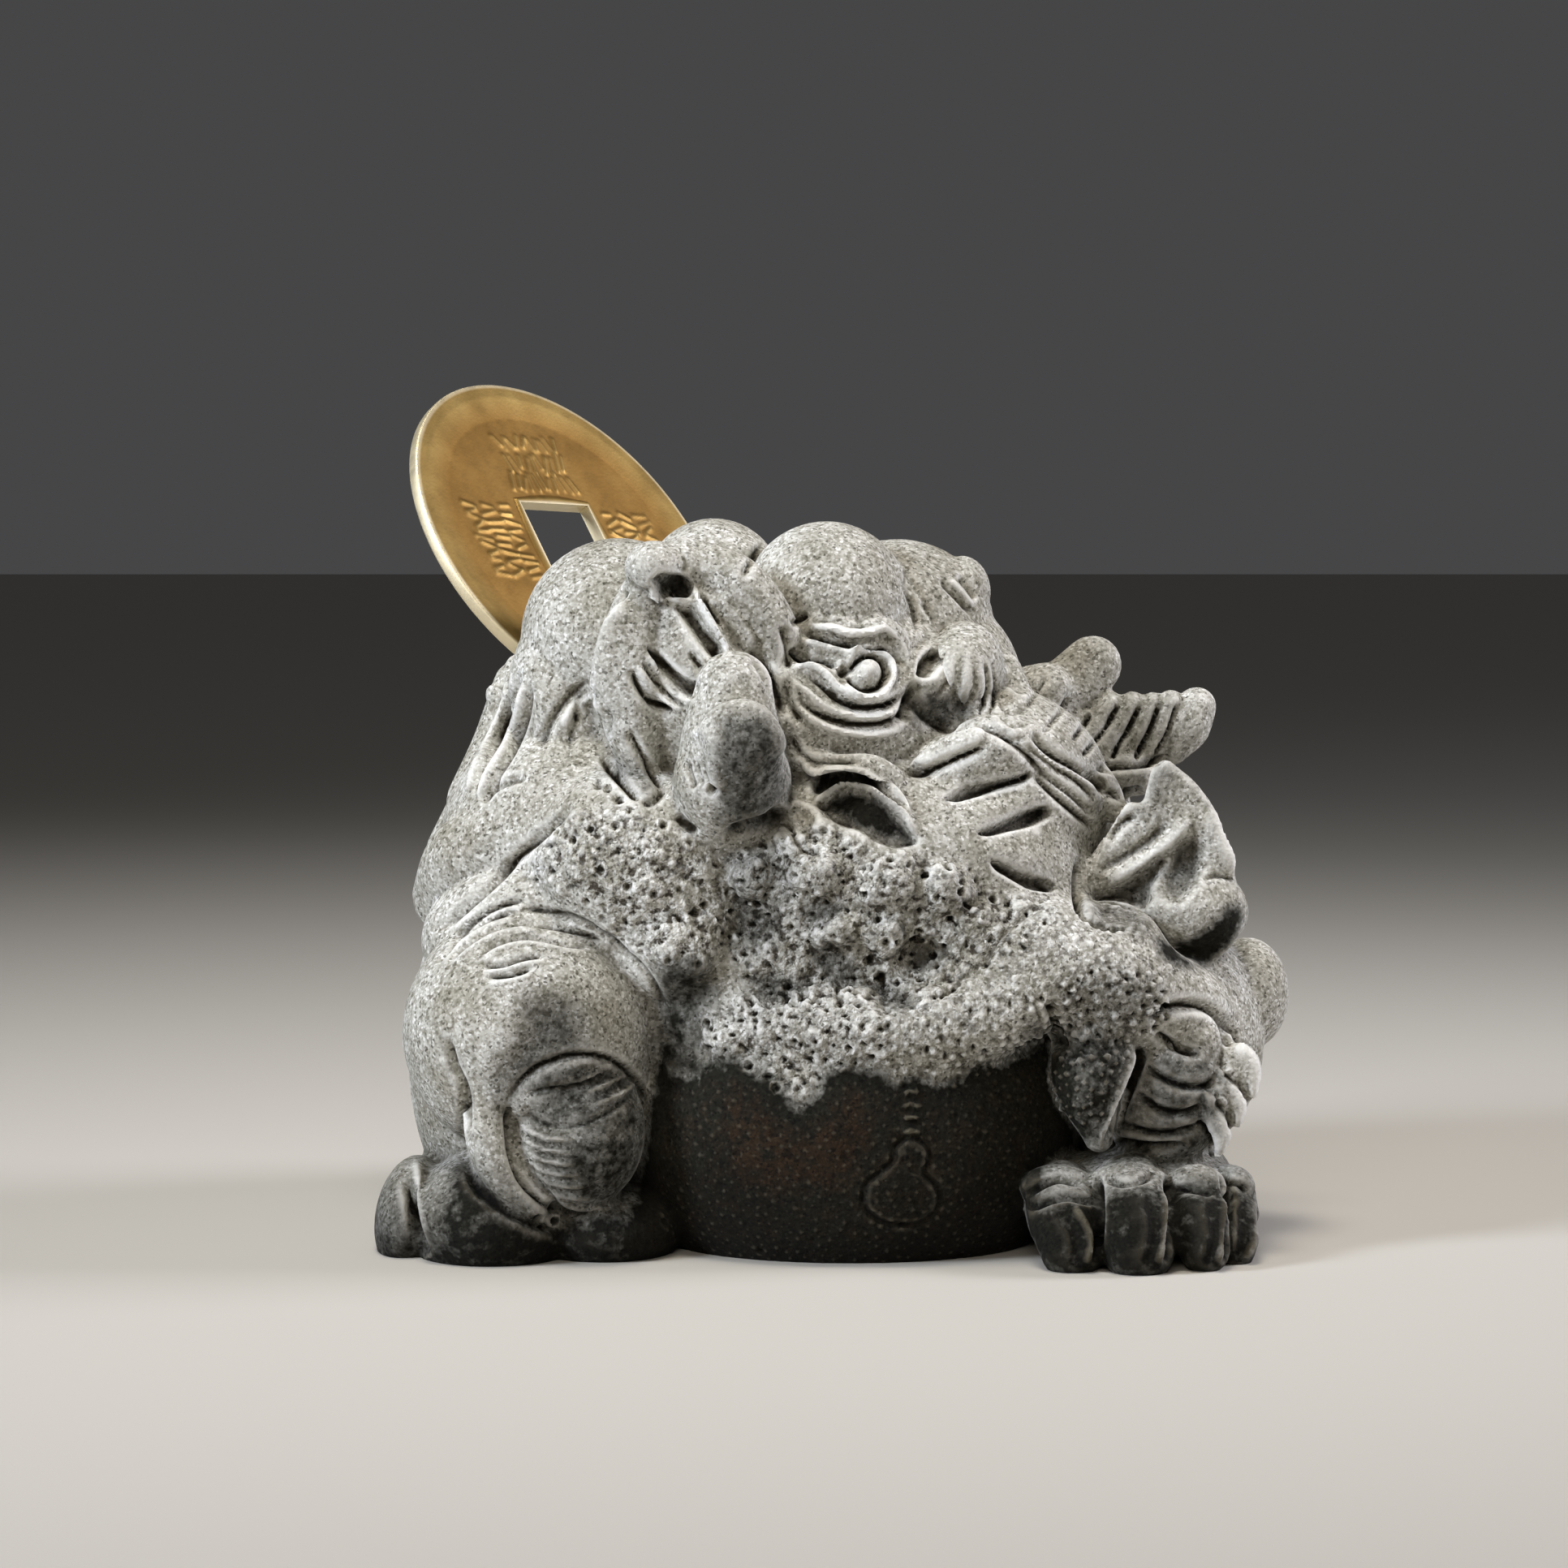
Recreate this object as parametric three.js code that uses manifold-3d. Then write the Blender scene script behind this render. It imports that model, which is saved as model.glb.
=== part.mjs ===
// A money toad figure in cast sandstone, with a loose brass coin standing in a slot behind its head.
// Millimetres, +Z up. -Y is the side of the chest and belly, and +X is the right of someone who looks at that side.
// The origin is on the flat underside.
import * as THREE from "three";
import { mergeVertices } from "three/addons/utils/BufferGeometryUtils.js";
import Module from "manifold-3d";

// Driving dimensions of the stone and the coin.
const figureHeight = 87; // from the underside to the top of the brow
const coinDiameter = 50;
const coinThickness = 1.6;
const coinHole = 12.6; // side of the square hole
const slotClearance = 0.3; // between the coin and each wall of its slot

// How the coin stands in its slot.
const slotSlope = 48; // degrees below level at which the coin goes in, towards +X
const coinLean = 59.5; // degrees that the coin's face is turned up, away from -Y
const coinSpin = 62; // degrees that the hole is turned from the way in
const coinPlace = [-32.1, 88.2, 22]; // the coin's centre, laid out as the carving is

// The free form keeps its proportions as shares of the figure's height. It is laid out in units of about a
// millimetre on an upright sheet through the origin, as an eye in front of the chest sees it, and scaled at the end.
const eye = { across: -6, back: 598.5, up: 96.4 };
const groundLine = 5.04; // height on the sheet at which the eye sees the ground under it

const wasm = await Module();
wasm.setup();
const radians = THREE.MathUtils.degToRad;

// The place that the eye sees at (across, up) on the sheet, depth units behind it.
function seen([across, up, depth]) {
  const stretch = (depth + eye.back) / eye.back;
  return new THREE.Vector3(
    eye.across + (across - eye.across) * stretch,
    depth,
    eye.up + (up - groundLine - eye.up) * stretch,
  );
}

function solidOf(geometry) {
  const bare = geometry.clone();
  bare.deleteAttribute("normal");
  bare.deleteAttribute("uv");
  const merged = mergeVertices(bare, 1e-4);
  return new wasm.Manifold(
    new wasm.Mesh({
      numProp: 3,
      vertProperties: merged.attributes.position.array,
      triVerts: new Uint32Array(merged.index.array),
    }),
  );
}

function geometryOf(solid) {
  const mesh = solid.getMesh();
  const geometry = new THREE.BufferGeometry();
  geometry.setAttribute("position", new THREE.BufferAttribute(mesh.vertProperties, 3));
  geometry.setIndex(new THREE.BufferAttribute(mesh.triVerts, 1));
  geometry.computeVertexNormals();
  return geometry;
}

const join = (solids) => solids.reduce((all, next) => all.add(next));

// An egg-shaped solid. radii are across, in depth and up; lean turns it clockwise as the eye sees it, and
// swing turns it about the upright.
function egg(centre, radii, lean = 0, swing = 0) {
  const size = Math.max(...radii);
  const around = Math.round(THREE.MathUtils.clamp(4 + size * 0.36, 5, 16));
  const geometry = new THREE.SphereGeometry(1, around, Math.max(4, Math.round(around * 0.55)));
  geometry.rotateX(Math.PI / 2);
  geometry.scale(...radii);
  geometry.rotateY(radians(lean));
  geometry.rotateZ(radians(swing));
  geometry.translate(...centre);
  return solidOf(geometry);
}

// A round-ended roll through points, with radii spread evenly along it. flat is its thickness in depth as a
// share of its width.
function roll(points, radii, flat = 1, sides = 6) {
  const line = new THREE.CatmullRomCurve3(points, false, "centripetal");
  const length = line.getLength();
  const steps = Math.max(2, Math.round(length / (1.3 * radii[0] + 1)));
  const geometry = new THREE.CapsuleGeometry(1, length, 1, sides, steps);
  const position = geometry.attributes.position;
  const point = new THREE.Vector3();
  for (let i = 0; i < position.count; i++) {
    point.fromBufferAttribute(position, i);
    const inside = THREE.MathUtils.clamp(point.y, -length / 2, length / 2);
    const along = inside / length + 0.5;
    const place = line.getPointAt(along);
    const tangent = line.getTangentAt(along);
    const side = tangent.clone().cross(new THREE.Vector3(0, 1, 0)).normalize();
    const deep = side.clone().cross(tangent).normalize();
    const radius = radiusAt(radii, along);
    place.addScaledVector(side, point.x * radius);
    place.addScaledVector(deep, point.z * radius * flat);
    place.addScaledVector(tangent, (point.y - inside) * radius);
    position.setXYZ(i, place.x, place.y, place.z);
  }
  return solidOf(geometry);
}

function radiusAt(radii, along) {
  const at = along * (radii.length - 1);
  const low = Math.min(Math.floor(at), radii.length - 2);
  return THREE.MathUtils.lerp(radii[low], radii[low + 1], at - low);
}

// The carving's forms, each placed by where the eye sees it, [across, up, depth].
const form = (place, radii, lean, swing) => egg(seen(place), radii, lean, swing);
const bend = (places, radii, flat, sides) => roll(places.map(seen), radii, flat, sides);
const lumps = (list, flat) => list.map(([across, up, depth, r]) => form([across, up, depth], [r, r * flat, r]));

// Ribs across an oval, one below the other, sagging in the middle.
function ribs([across, up, depth], wide, tall, count, sag, thick) {
  return Array.from({ length: count }, (_, i) => {
    const level = 1 - (2 * i + 1) / count;
    const reach = wide * Math.sqrt(1 - 0.75 * level * level);
    const middle = up + tall * level;
    const places = [
      [across - reach, middle + sag, depth + reach * 0.5],
      [across, middle, depth],
      [across + reach, middle + sag, depth + reach * 0.5],
    ];
    return bend(places, [thick * 0.8, thick, thick * 0.8], 1, 5);
  });
}

const trunkForms = [
  { place: [0, 36, 6], radii: [43, 36, 35] },
  { place: [1, 32, 20], radii: [37, 28, 31] },
  { place: [-2, 57, 12], radii: [31, 25, 26] },
  { place: [-20, 61, 13], radii: [22, 22, 18.5] },
  { place: [14, 56, 10], radii: [23, 24, 19] },
  { place: [2, 18, -12], radii: [28, 23, 24] },
  { place: [6, 47, -14], radii: [28, 17, 17] },
];
const trunk = () => trunkForms.map(({ place, radii }) => form(place, radii));

// The point of the trunk's back at x and z.
function onBack(x, z) {
  const depths = trunkForms.map(({ place, radii }) => {
    const centre = seen(place);
    const left = 1 - ((x - centre.x) / radii[0]) ** 2 - ((z - centre.z) / radii[2]) ** 2;
    return left > 0 ? centre.y + radii[1] * Math.sqrt(left) : -Infinity;
  });
  return new THREE.Vector3(x, Math.max(...depths), z);
}

function chest() {
  return [
    bend([[-15, 28, -28], [-4, 27.5, -31], [8, 29, -31], [20, 33, -28], [31, 38, -22]], [6, 6.6, 7, 7.6, 8]),
    form([-23, 49, -20], [14, 10, 12], 20),
    form([-19, 40, -22], [8, 8, 8]),
    ...lumps(
      [
        [-8.6, 49, -27.5, 4.6], [-0.6, 47.5, -27.5, 5], [1.5, 40.5, -30, 4.6], [-7.1, 38.5, -29, 5.6],
        [7.6, 38, -29, 5.8], [14, 44, -25.5, 7], [5, 54, -25, 6],
      ],
      1,
    ),
    ...lumps([[-10.6, 28, -33, 5], [-4.1, 23.6, -34.5, 4.4], [2.4, 27, -34, 4.6], [-18, 25, -29, 3.2]], 0.8),
  ];
}

function leftShoulder() {
  return [
    form([-30, 53, -5], [19, 18, 16], 10),
    bend([[-29, 60, -15], [-37, 53.5, -13], [-44, 47, -9]], [5.5, 6.4, 6]),
    bend([[-37.6, 73, 3], [-41.6, 67, 0], [-44, 60, -2], [-48, 51, -4]], [2.6, 3, 3, 2.4]),
    form([-37, 44.5, -14], [14, 12, 8.6], -24),
  ];
}

function leftLeg() {
  return [
    form([-37, 28.8, -19], [15.4, 16, 15]),
    form([-42, 26, -8], [11, 16, 20]),
    form([-31.2, 16.5, -28], [7.6, 7.4, 9]),
    ...ribs([-31.2, 16, -34.4], 6.4, 8.4, 4, 1.6, 1.6),
    form([-28, 6.5, -22], [10, 11, 7]),
    bend([[-50, 27, -12], [-49, 20, -15], [-46.5, 14.4, -17]], [3.6, 3.4, 2.2], 1.6, 7),
    bend([[-42, 26, -28], [-41, 16, -32], [-38, 7.6, -33]], [4.4, 4, 2.4], 1, 7),
  ];
}

function leftFoot() {
  return [
    form([-42.4, 6.2, -22], [9.6, 12, 8.4], -6),
    form([-52, 6, -19], [4.6, 9, 7.4], 10),
    form([-46, 7.4, -13], [8, 10, 7]),
  ];
}

function rightArm() {
  const plates = [[50.4, 25.6, -14], [50, 21.8, -16], [48.6, 18.2, -18], [46.6, 15, -20]];
  return [
    bend([[12, 33, -26], [24, 37, -26], [34, 37, -24], [42, 33, -20]], [7.5, 9, 9.4, 8]),
    form([51.2, 34, -5], [5, 8, 7.2]),
    form([42, 30, -8], [11, 14, 16]),
    form([41.2, 22.6, -21], [7.6, 7.6, 10]),
    ...ribs([41.6, 22.4, -28.2], 6.4, 8.6, 4, -0.8, 1.7),
    bend([[31, 31, -26], [33, 22, -29], [34.4, 15.4, -30]], [7, 5.6, 2.8]),
    ...plates.map((place) => form(place, [2.6, 4, 2.8], 32)),
  ];
}

function rightFoot() {
  const claws = [
    { top: [27.4, 9.6, -28], tip: [30.4, 2.2, -37], wide: 3.9 },
    { top: [36.4, 9.4, -28], tip: [38.8, 2, -39], wide: 4.4 },
    { top: [44.8, 9, -27], tip: [46.4, 2.2, -37], wide: 4 },
    { top: [49.6, 8.4, -22], tip: [50.8, 2.2, -31], wide: 3.3 },
  ];
  const middle = ({ top, tip }) => [tip[0] - 0.4, (top[1] + tip[1]) / 2 + 0.8, tip[2] + 0.6];
  return [
    form([38, 7, -20], [14.5, 12, 7.6]),
    form([38, 8, -6], [12, 18, 10]),
    ...claws.map((claw) => {
      const radii = [claw.wide, claw.wide, claw.wide * 0.9, claw.wide * 0.36];
      return bend([claw.top, middle(claw), claw.tip], radii, 1, 7);
    }),
    ...claws.map(({ top, wide }) => form([top[0] - 0.4, top[1] + 0.4, top[2] - 3.4], [wide * 1.06, 3.4, 3])),
  ];
}

function head() {
  return [
    form([-6, 68, -4], [26, 21, 17]),
    form([17, 58, -8], [17, 15, 14]),
    form([-0.8, 81, -9], [10.2, 11, 10.3]),
    form([-14.6, 84, -1], [8.2, 10, 7.8]),
    form([-26.2, 77, -5], [11.9, 12, 12.3]),
    form([-32.4, 68, -6], [6.8, 9, 12], -12),
    form([9, 80, 1], [11.6, 13, 9.8], 16),
    form([17.4, 84, 0], [3, 4, 3.4], -20),
    form([17.6, 71, 0], [8.8, 13, 11]),
    form([2.4, 73.2, -15.6], [8.2, 5.4, 7.4]),
    form([4.4, 73.4, -20.4], [2.6, 2.6, 2.6]),
    bend([[-4.6, 80, -19], [1, 80.4, -20.4], [7, 78.4, -19.6], [9, 74, -19]], [1.3, 1.6, 1.6, 1.3]),
    bend([[-5, 72, -20.4], [0, 68.4, -21.6], [6, 68.6, -21.2], [8.8, 73, -19.6]], [1.3, 1.7, 1.7, 1.3]),
    form([15.6, 73, -10], [5.2, 7.4, 6.2], 16),
    bend([[13, 61, -20], [19, 64, -20], [25.6, 62.6, -17], [30, 58, -14]], [3.4, 3.6, 3.6, 3], 1, 7),
  ];
}

function snout() {
  return [
    form([-16.6, 73, -15], [11.6, 10.6, 15.4], -10),
    form([-20.4, 86.4, -20], [4, 4.6, 3.4]),
    bend([[-21.6, 86, -19.6], [-25.4, 80, -21.6], [-26.4, 72.6, -22], [-24, 64, -21.6], [-22.4, 60, -20.6]],
      [3.2, 4, 4.4, 3.4, 2.2]),
    bend([[-18.4, 86.6, -19], [-12, 84, -20.4], [-7.4, 78.4, -20.6], [-5.2, 71, -20]], [3.2, 3.4, 3, 2.6]),
    bend([[-12, 61, -26], [-11.8, 67, -28], [-12, 70.4, -28]], [6.4, 5.4, 4.4]),
    bend([[-12.4, 57, -28], [-11.4, 62, -31.6], [-11, 64.6, -32]], [7.4, 5.6, 4.4]),
    form([-13.4, 57, -26], [7, 9, 5.6]),
    bend([[-4.6, 63.4, -24], [0, 61.4, -25.6], [5, 61.4, -25], [9.4, 57.6, -23.6], [11.6, 52.6, -22]],
      [1.8, 2, 2, 1.8, 1.4]),
    bend([[-3, 58, -25], [4, 54.6, -26], [10.6, 51.4, -23.6]], [1.6, 2, 1.4]),
  ];
}

// Hollows that are cut into the carving: under the snout's tip, the open corner of the mouth, and three slits
// in the cheek.
function hollows() {
  return [
    form([-19.2, 83, -26], [3, 4, 1.8], 10),
    form([4.4, 57.4, -25.6], [6, 3, 2.6], 26),
    ...[[19.4, 59.4, -22.4, -16], [21.4, 54.6, -24, -10], [24, 48.6, -25.4, 16]].map(
      ([across, up, depth, lean]) => form([across, up, depth], [5.6, 4, 0.9], lean),
    ),
  ];
}

function crest() {
  return [
    bend([[21, 67, 4], [27, 71.2, 5], [31.6, 73.8, 6]], [7, 5.8, 3.7], 0.8, 7),
    bend([[24, 62, 4], [35, 65, 6], [43.4, 67.4, 8]], [8, 6.4, 4.1], 0.7, 7),
    form([35, 60.6, 4], [6.6, 4, 4.4], 22),
    bend([[21.6, 71, -7], [24, 66.6, -8.6], [28.4, 62, -10], [32.6, 59, -10.6], [35, 56, -11]], [2.8, 2.7, 2.7, 2.8, 2]),
  ];
}

function shoulderFin() {
  return [
    bend([[39, 45.6, -8], [42, 53, -10], [41.3, 59.8, -11]], [9, 6.4, 2.7], 0.7),
    form([44.6, 48.4, -7], [6, 6, 9.2], -18),
    form([45.6, 42.4, -9], [5, 7, 5]),
    bend([[33, 47.4, -14.6], [38, 50.6, -16], [44, 55, -14]], [1.7, 1.8, 1.5]),
  ];
}

// The hidden side: a row of studs down the spine, warts on the back, and the third leg, behind in the middle.
function back() {
  const studs = Array.from({ length: 6 }, (_, i) => {
    const size = 4.4 - i * 0.3;
    return egg(onBack(7 - i, 70 - i * 8.4), [size, size, size]);
  });
  const warts = [[15, 46], [25, 34], [28, 50]].flatMap(([x, z]) => {
    return [x, -x].map((side) => egg(onBack(side, z), [3.2, 2.6, 3.2]));
  });
  const toes = [-6.4, 0, 6.4].map((x) => {
    return roll([new THREE.Vector3(x * 0.7, 46, 4), new THREE.Vector3(x * 1.2, 53, 2.4)], [3.6, 2.6], 1, 7);
  });
  return [
    ...studs,
    ...warts,
    egg(new THREE.Vector3(0, 39, 13), [12, 12, 14]),
    egg(new THREE.Vector3(0, 46, 4), [8.6, 8, 5.4]),
    ...toes,
  ];
}

const carving = join([
  ...trunk(),
  ...chest(),
  ...leftShoulder(),
  ...leftLeg(),
  ...leftFoot(),
  ...rightArm(),
  ...rightFoot(),
  ...head(),
  ...snout(),
  ...crest(),
  ...shoulderFin(),
  ...back(),
]).subtract(join(hollows()));
const unit = figureHeight / carving.boundingBox().max[2];

const slopeAngle = radians(slotSlope);
const leanAngle = radians(coinLean);
const wayIn = new THREE.Vector3(Math.cos(slopeAngle), 0, -Math.sin(slopeAngle));
const coinFace = new THREE.Vector3(Math.sin(slopeAngle), 0, Math.cos(slopeAngle))
  .multiplyScalar(Math.sin(leanAngle))
  .add(new THREE.Vector3(0, -Math.cos(leanAngle), 0));

// Stands a flat shape, drawn with the way in along its X, in the coin's plane, thick evenly to both sides.
function standInSlot(shape, thickness, segments) {
  const geometry = new THREE.ExtrudeGeometry(shape, {
    depth: thickness,
    bevelEnabled: false,
    curveSegments: segments,
  });
  geometry.translate(0, 0, -thickness / 2);
  const frame = new THREE.Matrix4().makeBasis(wayIn, coinFace.clone().cross(wayIn), coinFace);
  geometry.applyMatrix4(frame.setPosition(seen(coinPlace).multiplyScalar(unit)));
  return geometry;
}

function coinGeometry() {
  const disc = new THREE.Shape().absarc(0, 0, coinDiameter / 2, 0, Math.PI * 2);
  const corner = coinHole / Math.SQRT2;
  const corners = [45, 135, 225, 315].map((degrees) => {
    const angle = radians(degrees + coinSpin);
    return new THREE.Vector2(corner * Math.cos(angle), corner * Math.sin(angle));
  });
  disc.holes.push(new THREE.Path(corners));
  return standInSlot(disc, coinThickness, 28);
}

// The slot's round floor follows the coin's rim, and its straight sides run out of the stone.
function slotSolid() {
  const r = coinDiameter / 2 + slotClearance;
  const slot = new THREE.Shape().absarc(0, 0, r, -Math.PI / 2, Math.PI / 2);
  slot.lineTo(-coinDiameter, r);
  slot.lineTo(-coinDiameter, -r);
  return solidOf(standInSlot(slot, coinThickness + 2 * slotClearance, 24));
}

function stoneGeometry() {
  const below = new THREE.BoxGeometry(4 * figureHeight, 4 * figureHeight, figureHeight);
  below.translate(0, 0, -figureHeight / 2);
  return geometryOf(carving.scale(unit).subtract(solidOf(below)).subtract(slotSolid()));
}

const sandstone = new THREE.MeshStandardMaterial({ color: 0x8f9488, roughness: 0.95, metalness: 0 });
const brass = new THREE.MeshStandardMaterial({ color: 0xa9823c, roughness: 0.4, metalness: 1 });

function named(name, geometry, material) {
  const mesh = new THREE.Mesh(geometry, material);
  mesh.name = name;
  return mesh;
}

const figure = new THREE.Group();
figure.add(named("toad", stoneGeometry(), sandstone));
figure.add(named("coin", coinGeometry(), brass));

export default figure;
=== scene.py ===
"""A money toad figure in cast sandstone, with a loose brass coin standing in a slot behind its head."""

import math

import bmesh
import bpy
import numpy as np
from mathutils import Matrix, Vector
from mathutils.bvhtree import BVHTree
from mathutils.kdtree import KDTree


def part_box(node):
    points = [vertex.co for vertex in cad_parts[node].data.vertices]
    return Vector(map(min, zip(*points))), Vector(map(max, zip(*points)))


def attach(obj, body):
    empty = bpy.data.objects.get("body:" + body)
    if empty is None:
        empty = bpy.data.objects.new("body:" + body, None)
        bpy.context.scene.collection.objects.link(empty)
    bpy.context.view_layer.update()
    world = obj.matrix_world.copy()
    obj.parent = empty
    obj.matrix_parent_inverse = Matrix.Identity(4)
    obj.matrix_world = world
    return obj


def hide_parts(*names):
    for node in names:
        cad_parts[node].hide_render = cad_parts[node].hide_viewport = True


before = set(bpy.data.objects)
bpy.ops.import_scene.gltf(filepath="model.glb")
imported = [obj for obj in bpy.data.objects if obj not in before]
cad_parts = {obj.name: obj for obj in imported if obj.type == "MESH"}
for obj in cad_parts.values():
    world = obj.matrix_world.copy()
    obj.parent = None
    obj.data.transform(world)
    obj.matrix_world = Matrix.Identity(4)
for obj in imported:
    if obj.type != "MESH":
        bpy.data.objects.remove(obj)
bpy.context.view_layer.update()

# Everything is shaped in millimetres, in the frame's axes, and turned to metres at the end.
MM = 0.001
toad_top = (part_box("toad")[1] / MM).z

# The camera that sees the photograph's square frame.
PIXELS = 1932
ELEVATION = math.radians(4)
DISTANCE = 600
HALF_FIELD = 96.6
TARGET = Vector((-6, 0, 54.5))
LOOK = Vector((0, math.cos(ELEVATION), -math.sin(ELEVATION)))
RISE = Vector((0, math.sin(ELEVATION), math.cos(ELEVATION)))
EYE = TARGET - DISTANCE * LOOK

# The forms are laid out on an upright sheet through the origin, as an eye in front of the chest sees them.
# A unit of the sheet is 10 pixels of the photograph, about a millimetre. The floor lies a little way up it.
PER_UNIT = 10
ORIGIN_PIXEL = (1026, 1560)
SHEET_EYE = Vector((-6, -598.5, 96.4))
GROUND_LINE = 5.04
BROW = ((-0.8, 81, -9), (10.2, 11, 10.3))

# The slot and the coin in it.
SLOT_SLOPE = math.radians(48)
COIN_LEAN = math.radians(59.5)
COIN_SPIN = math.radians(62)
COIN_PLACE = (-32.1, 88.2, 22)
COIN_DIAMETER = 50
COIN_THICKNESS = 1.6
COIN_HOLE = 12.6
SLOT_CLEARANCE = 0.3
COIN_RIM = 5.4
RIM_SLOPE = 3.4
HOLE_RIM = 1.3
COIN_RELIEF = 0.24
COIN_ROUND = 0.3

# The strokes on the coin: rows to each side of the hole, half a row's length, and how far out the rows lie.
STROKE_ROWS = 3
ROW_HALF = 5.8
FIRST_ROW = 9.6
ROW_STEP = 3.1

# The sand's grains are about 0.2 mm, and drawn half as coarse again so that they show.
GRAIN = 0.3

# The skin's cells over the finished forms, and over the masses below them.
FINE_VOXEL = 0.42
COARSE_VOXEL = 1.0

# The carved mesh is thinned to this many triangles, and mostly on the hidden sides.
MOST_TRIANGLES = 190000
SEEN_WEIGHT = 0.02
HIDDEN_WORTH = 0.0005

# How finely smooth lines are stepped: steps between two points, then pixels for strokes and for plates, and
# units for rolls.
STRETCH_STEPS = 24
STROKE_STEP = 6
PLATE_STEP = 8
ROLL_STEP = 0.9

# A stroke dies away to each side of its line, and is left off this many times its width out. A ledge goes
# on further, and this is how soft its edge is.
STROKE_REACH = 2.5
LEDGE_REACH = 4
LEDGE_EDGE = 0.22

# A sight line towards the camera starts this far off the surface, and is followed this far.
SIGHT_START = 0.5
SIGHT_LENGTH = 90


def seen(place):
    """The point that the eye sees at (across, up) on the sheet, depth units behind it."""
    across, up, depth = place
    stretch = (depth - SHEET_EYE.y) / -SHEET_EYE.y
    return Vector(
        (
            SHEET_EYE.x + (across - SHEET_EYE.x) * stretch,
            depth,
            SHEET_EYE.z + (up - GROUND_LINE - SHEET_EYE.z) * stretch,
        )
    )


def on_sheet(u, v):
    """Where a pixel of the photograph's frame lies on the sheet."""
    return (u - ORIGIN_PIXEL[0]) / PER_UNIT, (ORIGIN_PIXEL[1] - v) / PER_UNIT


# The brow is the highest point of the stone, so it gives the layout's scale.
UNIT = toad_top / (seen(BROW[0]).z + BROW[1][2])


def course(points, spacing):
    """Points evenly spaced along a smooth curve through the given ones."""
    p = np.array(points, float)
    p = np.vstack([2 * p[0] - p[1], p, 2 * p[-1] - p[-2]])
    step = np.sqrt(np.linalg.norm(np.diff(p, axis=0), axis=1))[:, None]
    fine = []
    for i in range(1, len(p) - 2):
        before, here, after = step[i - 1], step[i], step[i + 1]
        chord = (p[i + 1] - p[i]) / here
        start = ((p[i] - p[i - 1]) / before - (p[i + 1] - p[i - 1]) / (before + here) + chord) * here
        end = (chord - (p[i + 2] - p[i]) / (here + after) + (p[i + 2] - p[i + 1]) / after) * here
        t = np.linspace(0, 1, STRETCH_STEPS)[:, None]
        rise = p[i + 1] - p[i]
        fine.append(p[i] + start * t + (3 * rise - 2 * start - end) * t**2 + (start + end - 2 * rise) * t**3)
    fine = np.vstack(fine)
    far = np.concatenate([[0], np.cumsum(np.linalg.norm(np.diff(fine, axis=0), axis=1))])
    even = np.linspace(0, far[-1], max(3, int(far[-1] / spacing) + 1))
    return np.stack([np.interp(even, far, fine[:, k]) for k in range(fine.shape[1])], axis=1)


def round_course(outline, spacing):
    """Points evenly spaced round a smooth closed outline. The last is the first again."""
    return course([*outline, outline[0]], spacing)


def mesh_of(bm, name):
    """A mesh made from a bmesh, which is let go."""
    mesh = bpy.data.meshes.new(name)
    bm.to_mesh(mesh)
    bm.free()
    return mesh


def new_object(name, data):
    """An object in the scene for a mesh, a lamp or a camera."""
    made = bpy.data.objects.new(name, data)
    bpy.context.scene.collection.objects.link(made)
    return made


def nearest_finder(points):
    """A tree that finds which of the points are near a place."""
    tree = KDTree(len(points))
    for i, place in enumerate(points):
        tree.insert(place, i)
    tree.balance()
    return tree


def mark(mesh, marks):
    """Gives a mesh's points the values that its material reads."""
    for name, values in marks.items():
        layer = mesh.attributes.new(name, "FLOAT", "POINT")
        layer.data.foreach_set("value", values.astype(np.float32))


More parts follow.
